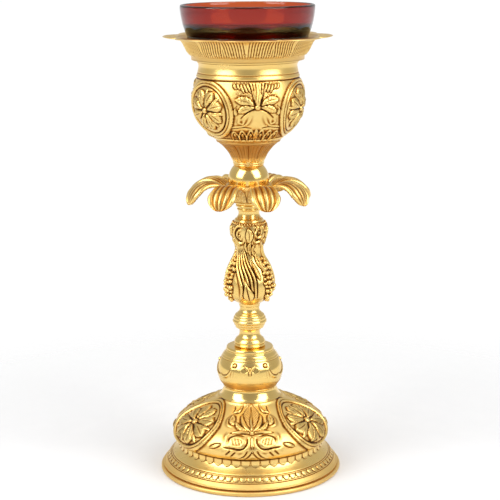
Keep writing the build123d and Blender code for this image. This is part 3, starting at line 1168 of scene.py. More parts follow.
@dataclass
class Dome:
    """The pressed dome of the base: three leafy panels between three framed rosettes."""

    columns: int = 552
    repeats: int = 3
    middle: float = 1.3
    scale: float = 0.72
    neck: float = 0.7
    wall: Path = ((46.4, 21.0), (47.1, 23.6), (46.6, 26.6), (44.9, 29.6), (42.2, 32.5),
                  (38.2, 35.2), (32.8, 38.2), (26.2, 41.4), (21.4, 43.8), (19.8, 45.4))
    frame: Medallion = field(default_factory=lambda: Medallion(
        ((0.0, 25.4), (20.9, 20.9)), ((0.0, 25.5), (17.4, 17.0)), (0.0, 24.4), (16.2, 15.2),
        (10.0, 5.2)))

    def _lily(self, work: Relief) -> None:
        """Works the lily that fills the upper half of a panel.

        Args:
            work: the canvas that is worked.
        """
        work.leaf([(0, 23.0), (0, 33), (0, 46.5)], 7.4, 0.5, ribs=1.9, slant=0.9, fullness=0.60,
                  outline=0.8)
        inside = work.within((0.0, 36.0), (6.4, 9.5))
        work.matted_and_shaded = np.maximum(work.matted_and_shaded, inside)
        work.leaf([(0, 23.2), (-0.3, 33), (0, 44.5)], 0.9, 1.15, fullness=0.35, outline=0.7)
        for side in (-1, 1):
            work.leaf(handed(side, (0, 23.2), (4.4, 28.0), (7.2, 33.2), (8.2, 38.8)),
                      1.5, 0.95, fullness=0.5, outline=0.6)
            work.leaf(handed(side, (2.6, 24.6), (8.0, 26.6), (12.2, 31.4)), 1.6, 0.95,
                      ribs=1.9, slant=0.5, fullness=0.55, outline=0.6)
            work.leaf(handed(side, (0.6, 22.9), (6, 23.4), (13.4, 22.6)), 1.1, 0.85,
                      fullness=0.45, outline=0.6)
            work.leaf(handed(side, (12.0, 28.0), (14.8, 31.6), (15.2, 36.4)), 2.6, 0.7,
                      ribs=1.5, slant=0.8, fullness=0.6, outline=0.5)
            work.line(swept(side, (13.2, 27.0), (17.0, 28.6), (18.2, 33.0), (15.8, 35.8),
                            (13.6, 33.6)), 0.5, 0.55)
            work.line(swept(side, (9.6, 46.5), (9.4, 42.5), (11.4, 39.0), (16.2, 37.8)), 0.4, -0.75)
            work.line(swept(side, (10.6, 46.5), (10.5, 43.0), (12.2, 40.2), (16.6, 39.0)), 0.45, 0.55)
            work.line(handed(side, (18.6, 44.0), (17.0, 41.8), (17.4, 38.6)), 0.45, -0.5)
        work.boss((0.0, 22.7), 1.3, 1.2, outline=0.5)

    def _stem(self, work: Relief) -> None:
        """Works the flaring stem and the winged scrolls below the lily.

        Args:
            work: the canvas that is worked.
        """
        for side in (-1, 1):
            upper = swept(side, (2.4, 18.6), (2.8, 15.6), (4.4, 13.1), (7.2, 12.2), (10.4, 12.7),
                          (14.6, 12.9))
            lower = swept(side, (2.6, 11.4), (4.2, 8.2), (6.8, 6.0), (9.6, 4.7))
            work.line(upper, 0.45, -0.95)
            work.line([(x, y - 1.0) for x, y in upper], 0.6, 0.45)
            work.line(lower, 0.42, -0.85)
            work.line([(x + 0.5 * side, y + 0.8) for x, y in lower], 0.45, 0.4)
            work.line(handed(side, (1.5, 20.6), (1.6, 16.0), (2.6, 11.8)), 0.4, 0.6)
            for start, end in (((9.0, 10.6), (11.2, 7.8)), ((11.4, 11.7), (14.0, 8.6))):
                work.line([(start[0] * side, start[1]), (end[0] * side, end[1])], 0.38, -0.8)
                work.line([(start[0] * side + 0.8 * side, start[1]),
                           (end[0] * side + 0.8 * side, end[1])], 0.4, 0.35)
            work.leaf(handed(side, (16.6, 14.8), (19.9, 13.2), (23.4, 11.4)), 1.15, 0.9,
                      fullness=0.5, outline=0.75)
            work.ring((8.6 * side, 16.7), (4.2, 3.0), 0.5, 0.28)
            work.line(swept(side, (4.2, 20.6), (8.4, 21.2), (12.4, 19.2), (12.8, 15.6)), 0.4, -0.6)
            for step in range(4):
                work.line([((5.6 + 1.7 * step) * side, 15.0), ((6.8 + 1.7 * step) * side, 18.4)],
                          0.32, 0.35)
            work.line(handed(side, (13.8, 22.4), (15.2, 19.6), (14.4, 16.2)), 0.45, 0.6)
            work.line(handed(side, (0, 10.9), (2.2, 7.2), (4.4, 4.4)), 0.4, -0.9, taper=False)
        work.leaf([(0, 20.4), (0, 16.0), (0, 12.0)], 1.0, 0.45, fullness=0.4, outline=0.35)

    def build(self, material: bpy.types.Material) -> None:
        """Makes the dome.

        Args:
            material: the finish.
        """
        turn = Turning(42.8, 15.05).to((42.9, 18.3), (44.7, 19.2)).curve(*self.wall, steps=12)
        outline = Outline.shell(turn.points, 0.36, floor=37.0, roof=ROD_HOLE)
        frieze = Frieze(outline, self.columns, self.repeats, self.middle, self.scale, self.neck)
        work = frieze.canvas()
        work.matted_and_shaded += np.clip((work.up - 8.0) / 1.5, 0, 1) * 0.4
        self._stem(work)
        self._lily(work)
        self.frame.let_into(frieze, work)
        edge = frieze.level(19.3)
        work.height *= np.clip((work.up - edge) / 0.4, 0, 1)
        work.matted_and_shaded *= np.clip((work.up - edge) / 0.4, 0, 1)
        work.height -= 0.3 * np.clip((edge - work.up) / 0.5, 0, 1) * (work.up > edge - 2.6)
        dress(frieze.make("base_dome_shell", work), material, Slot.PRESSED,
              "base_dome")


@dataclass
class Knop:
    """The polished parts above the dome: waisted collar, chased knop and low cap."""

    columns: int = 600
    repeats: int = 3
    collar: Path = ((17.8, 46.8), (16.8, 48.8), (16.1, 50.8), (16.4, 52.35))
    knop: Path = ((18.6, 55.6), (19.6, 58.8), (19.8, 61.5), (19.4, 65.0), (18.1, 68.4), (16.4, 71.3))

    def build(self, material: bpy.types.Material) -> None:
        """Makes the three pieces.

        Args:
            material: the finish.
        """
        low = Turning(19.0, 45.45).curve(*self.collar).points
        dress(turned_piece("knop_collar", Outline.shell(low, 0.3, roof=ROD_HOLE), 160), material,
              Slot.POLISHED, "base_collar")
        body = Turning(16.4, 52.45).curve(*self.knop, steps=12).points
        outline = Outline.shell(body, 0.2, floor=ROD_HOLE, roof=12.0)
        frieze = Frieze(outline, self.columns, self.repeats, 0.0, 0.34)
        work = frieze.canvas()
        upper = frieze.level(67.9)
        for side in (-1, 1):
            (boss,) = frieze.path((30.0 * side, 67.9))
            work.ring(boss, (1.55, 1.45), 0.24, -0.3)
            work.boss(boss, 1.15, 0.8, outline=0.3)
            swag = smooth_points(frieze.path((34.5 * side, 67.6), (36.5 * side, 64.6),
                                             (43 * side, 61.4), (52 * side, 60.2),
                                             (59.9 * side, 60.9)))
            work.line(swag, 0.75, 0.5)
            work.line([(x + 0.25 * side, y + 0.95) for x, y in swag], 0.35, -0.28)
            work.line(frieze.path((31 * side, 66.4), (33 * side, 63.0), (34 * side, 60.0)), 0.45,
                      0.3)
            work.ring(frieze.path((9.5 * side, 65.6))[0], (2.3, 1.7), 0.25, 0.22)
            work.leaf(frieze.path((1 * side, 64.6), (5 * side, 65.6), (9 * side, 68.2)), 0.75, 0.4,
                      outline=0.2)
        work.boss(frieze.path((0, 66.6))[0], 0.9, 0.55)
        work.leaf(frieze.path((0, 65.4), (0, 64.0), (0, 62.4)), 0.75, 0.6, fullness=0.6)
        # Painted shade: the knop's lower part is darkened and roughened as if matted.
        work.matted_and_shaded += 2.0 * np.clip((frieze.level(57.5) - work.up) / 2.5, 0, 1)
        work.turned((upper + 2.3, 0.22, -0.12), (upper + 2.9, 0.22, 0.12))
        dress(frieze.make("knop_shell_chased", work), material, Slot.POLISHED,
              "knop_shell")
        cap = Turning(16.3, 71.32).bead(15.9, 72.2, 0.12).to((15.75, 72.3))
        cap.curve((15.2, 73.0), (14.5, 73.7)).bead(14.1, 74.3, 0.2)
        cap.to((14.2, 74.4)).bead(14.0, 75.8, 0.18).bead(13.5, 76.15, 0.12).to((9.0, 76.18))
        dress(turned_piece("knop_cap_stepped", Outline.shell(cap.points, 0.14, roof=ROD_HOLE), 160),
              material, Slot.POLISHED, "knop_cap")


@dataclass
class Stem:
    """The cast stem: a beaded spool and a baluster with drapery, fruit and scrolls."""

    columns: int = 360
    repeats: int = 3
    seed: int = 11
    lower: Path = ((10.2, 105.2), (13.1, 108.0), (14.7, 112.0), (14.6, 116.5), (13.2, 121.5),
                   (11.2, 126.5), (8.5, 131.5), (7.7, 135.5), (8.4, 139.2), (9.9, 143.2),
                   (10.8, 147.4), (10.3, 151.0), (8.6, 153.6))

    def _spool(self, material: bpy.types.Material) -> None:
        """Makes the spool.

        Args:
            material: the finish.
        """
        spool = Turning(8.7, 76.22).bead(9.1, 78.0, 0.5).bead(9.0, 79.9, 0.3)
        spool.curve((8.4, 80.9), (6.9, 82.4), (6.2, 84.2), (6.2, 85.6), (6.7, 87.0))
        spool.to((7.6, 87.5)).bead(8.6, 89.0, 0.45).bead(9.4, 90.6, 0.35).bead(9.7, 93.0, 0.75)
        spool.bead(9.0, 94.8, 0.35).bead(7.9, 96.3, 0.35).to((7.3, 97.0))
        spool.curve((6.4, 97.9), (5.9, 99.3), (5.9, 100.2), (6.2, 101.25))
        work = Outline.solid(spool.points, ROD_HOLE, 0.09)
        dress(turned_piece("stem_spool_turned", work, 144), material, Slot.CAST,
              "stem_spool")

    def _drapery(self, frieze: Frieze, work: Relief) -> None:
        """Works the sweeping folds, the drop and the leaf of the lower bulge.

        Args:
            frieze: the piece, for its places.
            work: the canvas that is worked.
        """
        for step in range(5):
            turn = 9.6 * step
            fold = frieze.path((-58 + turn * 0.8, 138.0), (-46 + turn, 130.0), (-27 + turn, 121.5),
                               (-17 + turn * 0.8, 114.0), (-20 + turn * 0.9, 108.5))
            work.line(smooth_points(fold), 0.95, 1.3)
            work.line([(x + 1.25, y) for x, y in smooth_points(fold)], 0.4, -0.75)
        drop = frieze.path((-16, 124.0), (-5, 114.5), (1, 107.4))
        work.leaf(drop, 3.2, 2.1, fullness=0.80, outline=0.8)
        for degrees, top, low, half in ((30, 137.0, 125.5, 2.0), (42, 134.0, 121.0, 1.8),
                                        (20, 131.0, 119.0, 1.3)):
            leaf = frieze.path((degrees - 14, top), (degrees - 2, (top + low) / 2 + 1),
                               (degrees + 9, low))
            work.leaf(leaf, half, 1.25, ribs=1.1, slant=0.8, fullness=0.6, outline=0.6)

    def _fruit(self, frieze: Frieze, work: Relief) -> None:
        """Works the cluster of fruit and flowers where two repeats meet.

        Args:
            frieze: the piece, for its places.
            work: the canvas that is worked.
        """
        draw = np.random.default_rng(self.seed)
        for low in np.arange(107.0, 131.0, 2.6):
            reach = 19.0 * math.sin(math.pi * (low - 103.0) / 31.0)
            for turn in np.arange(-reach, reach + 1, 9.8):
                degrees = 60.0 + turn + draw.uniform(-1.6, 1.6)
                height = low + draw.uniform(-0.5, 0.5)
                size = draw.uniform(0.9, 1.6)
                for wrap in (0.0, -120.0):
                    (place,) = frieze.path((degrees + wrap, height))
                    work.boss(place, size, 1.25 * size, outline=0.45)

    def _scrolls(self, frieze: Frieze, work: Relief) -> None:
        """Works the scrolls, the hanging leaf and the small drops of the upper bulge.

        Args:
            frieze: the piece, for its places.
            work: the canvas that is worked.
        """
        for stations, width, rise in (
                (((-20, 151.5), (-42, 151.0), (-54, 146.5), (-42, 141.6), (-24, 141.2), (-16, 144.0)),
                 0.75, 1.1),
                (((-26, 149.5), (-38, 148.0), (-41, 145.2), (-31, 143.4)), 0.5, 0.8),
                (((14, 151.5), (26, 149.6), (20, 146.6), (31, 144.4), (46, 146.6), (50, 150.6)),
                 0.6, 1.0),
                (((12, 143.6), (24, 141.4), (40, 141.6), (52, 138.6)), 0.7, 0.9)):
            work.line(smooth_points(frieze.path(*stations)), width, rise)
        for stations, half, rise, ribs in (
                (((-3, 150.4), (1, 145.6), (-2, 141.0)), 3.2, 0.95, 0.0),
                (((5, 142.0), (0, 138.0), (6, 133.0)), 2.2, 1.1, 1.3),
                (((-12, 142.0), (-15, 138.6), (-6, 134.6)), 1.5, 0.9, 1.2),
                (((20, 140.6), (13, 136.6), (22, 132.6)), 1.5, 1.0, 1.2),
                (((-58, 144.0), (-46, 140.6), (-34, 139.6)), 1.4, 1.0, 1.2),
                (((36, 151.6), (42, 149.0), (39, 145.4)), 1.1, 0.8, 0.0)):
            work.leaf(frieze.path(*stations), half, rise, ribs=ribs, fullness=0.5, outline=0.55)
        for turn, height, size in ((22, 150.9, 0.7), (32, 147.6, 0.9), (-33, 145.6, 0.8),
                                   (44, 143.9, 0.8), (10, 147.2, 0.6), (57, 148.4, 1.2),
                                   (-56, 149.6, 0.9), (56, 142.6, 1.0), (26, 138.6, 0.6)):
            work.boss(frieze.path((turn, height))[0], size, size * 0.9, outline=0.5)
        for step in range(-6, 6):
            work.boss(frieze.path((step * 10.0 + 5, 152.3))[0], 0.75, 0.7)

    def build(self, material: bpy.types.Material) -> None:
        """Makes the spool and the baluster.

        Args:
            material: the finish.
        """
        self._spool(material)
        turn = Turning(6.2, 101.32).to((6.6, 103.0)).curve(*self.lower, steps=14)
        turn.bead(7.5, 154.8, 0.35).curve((6.5, 156.6), (6.2, 158.2), (6.6, 159.7))
        turn.bead(6.7, 160.9, 0.5).to((6.6, 161.95))
        outline = Outline.solid(turn.points, ROD_HOLE, 0.26)
        frieze = Frieze(outline, self.columns, self.repeats, 0.0, 0.244)
        work = frieze.canvas()
        self._fruit(frieze, work)
        self._drapery(frieze, work)
        self._scrolls(frieze, work)
        level = outline.outside[:, 1]
        work.height *= np.clip((level - 104.5) / 1.2, 0, 1) * np.clip((153.6 - level) / 0.8, 0, 1)
        dress(frieze.make("stem_baluster_cast", work, reach=5), material, Slot.CAST,
              "stem_baluster")


@dataclass
class LeafCollar:
    """Eight drooping leaves springing from a granulated calyx."""

    columns: int = 480
    leaf_rows: int = 90
    leaf_columns: int = 49
    leaves: int = 8
    first: float = 17.0
    thickness: float = 1.0
    seat: Path = ((12.05, 175.2), (10.9, 172.0), (8.6, 169.0), (5.7, 167.0), (4.3, 166.4),
                  (4.3, 162.1))
    arch: Path = ((9.0, 165.6), (12.4, 170.6), (16.8, 174.6), (21.8, 177.0), (27.2, 177.0),
                  (31.8, 174.8), (34.9, 171.4), (36.2, 168.2), (36.5, 166.2), (36.4, 164.7))

    def _unit(self) -> bpy.types.Object:
        """Makes one ribbed leaf with rolled margins at azimuth 0.

        Returns:
            The leaf, standing at azimuth 0.
        """
        walk = np.array(smooth_points(self.arch, 10))
        share = 1.0 - (1.0 - np.linspace(0.0, 1.0, self.leaf_rows)) ** 1.7
        place = spaced(walk, share * walked(walk)[-1])
        slope = heading(place)
        normal = np.column_stack([-slope[:, 1], slope[:, 0]])
        tip = np.sqrt(np.clip(1.0 - (np.clip(share - 0.76, 0, 1) / 0.24) ** 2, 0.0, 1.0))
        half = np.interp(share, (0.0, 0.3, 0.6, 0.78, 1.0), (3.8, 5.2, 7.6, 8.8, 8.8)) * tip + 0.2
        spread = np.linspace(-1.0, 1.0, self.leaf_columns)
        grow = np.clip(share * 4, 0.15, 1.0)[:, None]
        ribs = 0.26 * np.cos(2 * np.pi * 2.5 * spread)[None, :] * grow
        ribs = ribs * np.clip((0.86 - np.abs(spread)) * 9, 0, 1)[None, :]
        margin = 0.85 * np.exp(-((np.abs(spread) - 0.88) / 0.10) ** 2)[None, :] * grow
        curl = np.clip((1.0 - share[:, None]) / 0.25, 0.0, 1.0)
        cup = (0.5 + 1.9 * share[:, None]) * curl * (0.35 - spread[None, :] ** 2)
        top = ribs + margin + cup
        grain = np.abs(np.random.default_rng(7).normal(size=top.shape)) * 0.16
        under = cup - self.thickness + 0.35 * ribs - grain
        sheets = []
        for height in (top, under):
            radius = place[:, 0, None] + normal[:, 0, None] * height
            level = place[:, 1, None] + normal[:, 1, None] * height
            aside = np.broadcast_to(half[:, None] * spread[None, :], radius.shape)
            sheets.append(np.stack([aside, -radius, level], axis=-1))
        corners = np.concatenate([sheet.reshape(-1, 3) for sheet in sheets]) * MM
        # Painted shade in the hollows between the ribs and in the pits of the grained underside.
        hollow = np.clip(0.30 - 1.2 * ribs - margin, 0, 0.8) + np.zeros_like(top)
        deep = np.concatenate([hollow.ravel(), (0.05 + 1.4 * grain).ravel()])
        return new_mesh("leaf", corners, plate_faces(self.leaf_rows, self.leaf_columns)[:, ::-1],
                        {"recess": deep, "matted_and_shaded": np.full(deep.shape, 0.15)})

    def build(self, material: bpy.types.Material) -> None:
        """Makes the leaves and the calyx.

        Args:
            material: the finish.
        """
        leaves = ring_of("collar_leaves", self._unit(), self.leaves, self.first, material)
        dress(leaves, material, Slot.PRESSED, "leaf_collar")
        turn = Turning(6.75, 162.02).bead(7.6, 163.1, 0.75)
        turn.to((7.2, 163.5)).bead(8.1, 164.3, 0.4).curve((9.6, 165.9), (11.6, 168.4), (13.2, 171.0),
                                                        (14.0, 173.2), (13.2, 175.2))
        outline = Outline(Outline.shell(turn.points, 0.18).outside, np.array(self.seat))
        work = Frieze(outline, self.columns, 1, 0.0, 0.19).canvas()
        draw = np.random.default_rng(5)
        grain = draw.normal(size=work.height.shape)
        grain = (grain + np.roll(grain, 1, axis=0) + np.roll(grain, 1, axis=1)) / 3
        rough = np.clip((work.up - 4.0) / 0.8, 0, 1)
        work.height += np.abs(grain) * 0.22 * rough
        work.matted_and_shaded = rough * 0.8
        calyx = turned_piece("collar_calyx", outline, self.columns, work.height, work.matted_and_shaded, 0.0, 3)
        dress(calyx, material, Slot.PRESSED)


@dataclass
class Bowl:
    """The bowl: polished ball, fluted trumpet and the embossed bowl itself."""

    columns: int = 480
    repeats: int = 3
    flutes: int = 12
    middle: float = 9.7
    scale: float = 0.54
    # Painted shade: how strongly the trumpet under the bowl is darkened and roughened as matting.
    drop: float = -1.0
    shade_and_matting: float = 2.4
    ball_radius: float = 12.1
    ball_centre: float = 177.9
    wall: Path = ((21.2, 204.3), (24.0, 207.0), (26.4, 209.4), (28.4, 211.8), (30.4, 215.2),
                  (31.7, 219.0), (32.5, 223.0), (32.6, 227.4), (31.9, 232.0), (30.8, 236.0),
                  (29.9, 239.8), (29.0, 243.4), (28.8, 245.6), (29.6, 247.4))
    frame: Medallion = field(default_factory=lambda: Medallion(
        ((0.0, 23.4), (18.9, 18.9)), ((0.0, 23.7), (14.9, 14.9)), (0.0, 24.4), (13.2, 12.8)))

    def _ball(self, material: bpy.types.Material) -> None:
        """Makes the ball between the leaves and the trumpet.

        Args:
            material: the finish.
        """
        low = math.asin((166.55 - self.ball_centre) / self.ball_radius)
        high = math.asin((186.45 - self.ball_centre) / self.ball_radius)
        arc = [(self.ball_radius * math.cos(a), self.ball_centre + self.ball_radius * math.sin(a))
               for a in np.linspace(low, high, 60)]
        outline = Outline.shell(arc, 0.45, floor=ROD_HOLE, roof=ROD_HOLE)
        outline.back = outline.back[[0, 1, -2, -1]]
        dress(turned_piece("stem_ball", outline, 128), material, Slot.POLISHED,
              "upper_ball")

    def _trumpet(self, material: bpy.types.Material) -> None:
        """Makes the fluted trumpet under the bowl.

        Args:
            material: the finish.
        """
        turn = Turning(8.6, 186.55).bead(8.9, 187.5, 0.3).bead(9.2, 188.6, 0.25)
        turn.curve((9.7, 190.1), (11.1, 193.4), (12.9, 196.0), (15.3, 198.6), (18.0, 200.6))
        turn.bead(18.7, 201.95, 0.55)
        outline = Outline.shell(turn.points, 0.16, floor=ROD_HOLE, roof=ROD_HOLE)
        frieze = Frieze(outline, self.columns, self.flutes, 0.0, 0.2)
        work = frieze.canvas()
        low = frieze.level(189.6)
        high = frieze.level(200.4)
        for place, rise in ((0.0, -0.4), (1.5, 0.25), (-1.5, 0.25)):
            work.line([(place, low), (place, high)], 0.4, rise)
        work.height *= np.clip((high - work.up) / 1.5, 0, 1)
        # Painted shade: the trumpet darkens and roughens from just above its foot up to the bowl.
        work.matted_and_shaded += self.shade_and_matting * np.clip((work.up - low) / 3.0, 0, 1)
        dress(frieze.make("bowl_trumpet", work, reach=3), material, Slot.POLISHED,
              "bowl_foot")

    def _plume(self, work: Relief) -> None:
        """Works the plume that hangs from the groove and gathers at the knot.

        Args:
            work: the canvas that is worked.
        """
        for step in range(-7, 8):
            side = 1 if step > 0 else -1
            top = step * 1.9
            if abs(step) <= 2:
                run = smooth_points([(top, 41.6), (top * 0.66, 36.0), (step * 0.6, 30.5),
                                     (step * 0.3, 28.0)])
                work.line(run, 0.5, 1.0)
                work.line([(x + 0.9 * side, y) for x, y in run], 0.32, -0.75)
            else:
                drop = 35.0 if abs(step) < 6 else 37.4
                run = [(top, 41.6), (top - 0.6 * side, 38.8), (top - 2.4 * side, drop)]
                work.leaf(run, 0.78, 0.95, fullness=0.5, outline=0.75)
        for side in (-1, 1):
            ground = work.within((7.6 * side, 33.6), (4.6, 2.6))
            work.matted_and_shaded = np.maximum(work.matted_and_shaded, ground)
            for step in range(5):
                for row in range(2):
                    place = ((4.6 + 1.4 * step + 0.7 * row) * side, 33.6 + 1.3 * row)
                    work.boss(place, 0.42, 0.4, outline=0.2)

    def _wings(self, work: Relief) -> None:
        """Works the wings, scrolls and palmette round the knot.

        Args:
            work: the canvas that is worked.
        """
        for side in (-1, 1):
            work.leaf(handed(side, (1.4, 28.0), (6.0, 30.8), (12.2, 31.6)), 2.6, 0.75,
                      ribs=1.7, slant=0.6, fullness=0.62)
            work.leaf(handed(side, (1.4, 27.4), (6.2, 26.6), (11.0, 24.4)), 2.2, 0.7,
                      ribs=1.7, slant=0.6, fullness=0.6)
            work.line(swept(side, (0.8, 26.6), (5.2, 24.6), (9.6, 20.8)),
                      0.4, -0.75)
            work.line(swept(side, (9.8, 21.0), (10.8, 18.4), (8.6, 17.2), (7.6, 19.2)), 0.45, 0.5)
            work.leaf(handed(side, (11.0, 28.6), (12.4, 26.0), (12.0, 22.4)), 1.1, 0.6)
            work.line(swept(side, (4.0, 21.5), (5.6, 18.0), (8.8, 15.6), (15.5, 14.6)), 0.55, 0.6)
            work.line(handed(side, (3.6, 14.2), (8.6, 15.0), (15.5, 13.6)), 0.35, -0.6)
            for reach, top in ((3.6, 12.6), (9.4, 12.0), (15.0, 11.2)):
                run = smooth_points([((reach - 3.0) * side, 3.6), ((reach - 2.3) * side, 8.0),
                                     (reach * side, top), ((reach + 2.3) * side, 8.0),
                                     ((reach + 3.0) * side, 3.6)], 5)
                work.line(run, 0.45, 0.75, taper=False)
                work.leaf([(reach * side, 4.2), (reach * side, 7.0), (reach * side, 9.8)], 1.1, 0.6)
            work.leaf(handed(side, (4.6, 4.6), (6.6, 6.8), (7.2, 9.2)), 0.9, 0.6)
        work.boss((0.0, 27.3), 1.5, 1.1)
        work.leaf([(0, 13.4), (0, 9.6), (0, 4.4)], 1.7, 0.7, ribs=1.2, fullness=0.4)
        low = np.clip((13.0 - work.up) / 1.5, 0, 1) * np.clip((work.up - 3.0) / 0.8, 0, 1)
        work.matted_and_shaded = np.maximum(work.matted_and_shaded, 2.2 * low * (work.height < 0.3))

    def _shell(self, material: bpy.types.Material) -> None:
        """Makes the embossed bowl.

        Args:
            material: the finish.
        """
        points = Turning(19.3, 202.05).curve(*self.wall, steps=12).points
        outline = Outline.shell(points, 0.33, floor=ROD_HOLE)
        frieze = Frieze(outline, self.columns, self.repeats, self.middle, self.scale, self.drop)
        work = frieze.canvas()
        work.matted_and_shaded += np.clip((work.up - 14.0) / 1.5, 0, 1) * np.clip((41.5 - work.up), 0, 1) * 0.4
        self._plume(work)
        self._wings(work)
        self.frame.let_into(frieze, work)
        groove = frieze.level(238.4)
        work.height *= np.clip((groove - 0.3 - work.up) / 0.6, 0, 1)
        work.matted_and_shaded *= np.clip((groove - 0.3 - work.up) / 0.6, 0, 1)
        for height, width, rise in ((238.4, 0.35, -0.6), (239.3, 0.3, 0.2), (241.2, 0.3, -0.22),
                                    (203.4, 0.4, 0.4), (204.4, 0.3, -0.45)):
            work.turned((frieze.level(height), width, rise))
        dress(frieze.make("bowl_embossed", work), material, Slot.PRESSED,
              "bowl_shell")

    def build(self, polished: bpy.types.Material, pressed: bpy.types.Material) -> None:
        """Makes the ball, the trumpet and the bowl.

        Args:
            polished: the finish of the ball and the trumpet.
            pressed: the finish of the bowl.
        """
        self._ball(polished)
        self._trumpet(polished)
        self._shell(pressed)


@dataclass
class Gallery:
    """The flared gallery with eight lobes that holds the glass."""

    columns: int = 720
    lobes: int = 8
    valley: float = 43.8
    lobe: float = 49.0
    bore: float = 41.0
    top: float = 262.1
    droop: float = -0.25
    roundness: float = 2.6
    neck: float = 42.4
    edge_depth: float = 0.45
    flare: Path = ((34.4, 252.0), (35.8, 254.0), (37.0, 256.4), (38.3, 258.8), (40.2, 260.6),
                   (42.6, 261.7))

    def build(self, material: bpy.types.Material) -> None:
        """Makes the gallery.

        Args:
            material: the finish.
        """
        turn = Turning(29.9, 247.6).curve((30.3, 248.8)).bead(31.8, 250.3, 0.45).to((32.6, 250.6))
        turn.curve(*self.flare, steps=12)
        turn.to((self.valley - 0.2, self.top - 0.9)).bead(self.valley - 0.2, self.top, 0.28)
        turn.to((self.bore, self.top))
        outline = Outline.shell(turn.points, 0.2)
        inner = [(r - 1.15, z + 0.35) for r, z in self.flare[-2::-1]]
        outline.back = np.array([(40.6, self.top - 0.3), *inner, (33.0, 251.0), (32.9, 248.6),
                                 (27.8, 248.5), (27.8, 247.6)])
        frieze = Frieze(outline, self.columns, self.lobes, 0.0, 0.66)
        work = frieze.canvas()
        edge = float(outline.rise[np.argmax(outline.outside[:, 0] > self.flare[-1][0] - 0.1)])
        lip = float(outline.rise[np.argmax(outline.outside[:, 0])])
        self._feather(work, 4.0, edge - 1.2)
        self._lobe_top(work, lip)
        work.turned((1.2, 0.25, -0.4), (3.3, 0.25, -0.35))
        piece = frieze.make("gallery_flared", work, reach=3)
        self._stretch(piece)
        dress(piece, material, Slot.PRESSED, "gallery")

    def _feather(self, work: Relief, low: float, high: float) -> None:
        """Works the slanting barbs, ring dots and scallops of the flare.

        Args:
            work: the canvas that is worked.
            low: where the flare's work starts.
            high: where it ends.
        """
        for step in range(-9, 10):
            side = -1 if step < 0 else 1
            foot = step * 1.62
            run = [(foot, low + 1.6), (foot + 0.5 * side, (low + high) / 2), (foot + 1.5 * side, high)]
            work.line(run, 0.28, -0.34)
            work.line([(x + 0.7, y) for x, y in run], 0.3, 0.16)
        for step in range(-4, 4):
            place = ((step + 0.5) * 3.7, low + 2.4 + 2.2 * (step % 2))
            work.ring(place, (0.75, 0.75), 0.2, -0.35)
            work.boss(place, 0.4, 0.3, outline=0.1)
        across = np.linspace(-14.85, 14.85, 97)
        scallop = [(x, low + 0.9 - 1.0 * abs(math.cos(math.pi * x / 3.7125))) for x in across]
        work.line(scallop, 0.3, -0.5, taper=False)
        work.matted_and_shaded = np.maximum(work.matted_and_shaded, 0.5 * np.clip((work.up - low) / 1.0, 0, 1)
                                 * np.clip((high + 1.0 - work.up) / 1.0, 0, 1))

    def _lobe_top(self, work: Relief, lip: float) -> None:
        """Works the veins on the upper face of each lobe."""
        for step in range(-6, 7):
            work.line([(step * 2.1, lip + 0.9), (step * 1.9, lip + 3.4)], 0.3, -0.3)

    def _stretch(self, piece: bpy.types.Object) -> None:
        """Draws the rim out into lobes.

        Args:
            piece: the gallery, still round at its rim.
        """
        mesh = piece.data
        place = np.zeros(len(mesh.vertices) * 3)
        mesh.vertices.foreach_get("co", place)
        place = place.reshape(-1, 3) / MM
        radius = np.hypot(place[:, 0], place[:, 1])
        turn = np.arctan2(place[:, 0], -place[:, 1])
        pitch = 2 * math.pi / self.lobes
        share = np.abs((turn + pitch / 2) % pitch - pitch / 2) / (pitch / 2)
        reach = self.valley + (self.lobe - self.valley) * (1.0 - share ** self.roundness)
        upper = place[:, 2] > self.top - self.edge_depth
        root = np.where(upper, self.bore, self.neck)
        stretch = (reach - root) / (self.valley - root)
        free = (radius > root) & (place[:, 2] > self.top - 1.5)
        new = np.where(free, root + (radius - root) * stretch, radius)
        out = (new - radius) / (self.lobe - self.valley)
        droop = np.where(free, out ** 2 * self.droop, 0.0)
        place[:, 0] *= new / radius
        place[:, 1] *= new / radius
        place[:, 2] -= droop
        mesh.vertices.foreach_set("co", (place * MM).ravel())
        mesh.update()


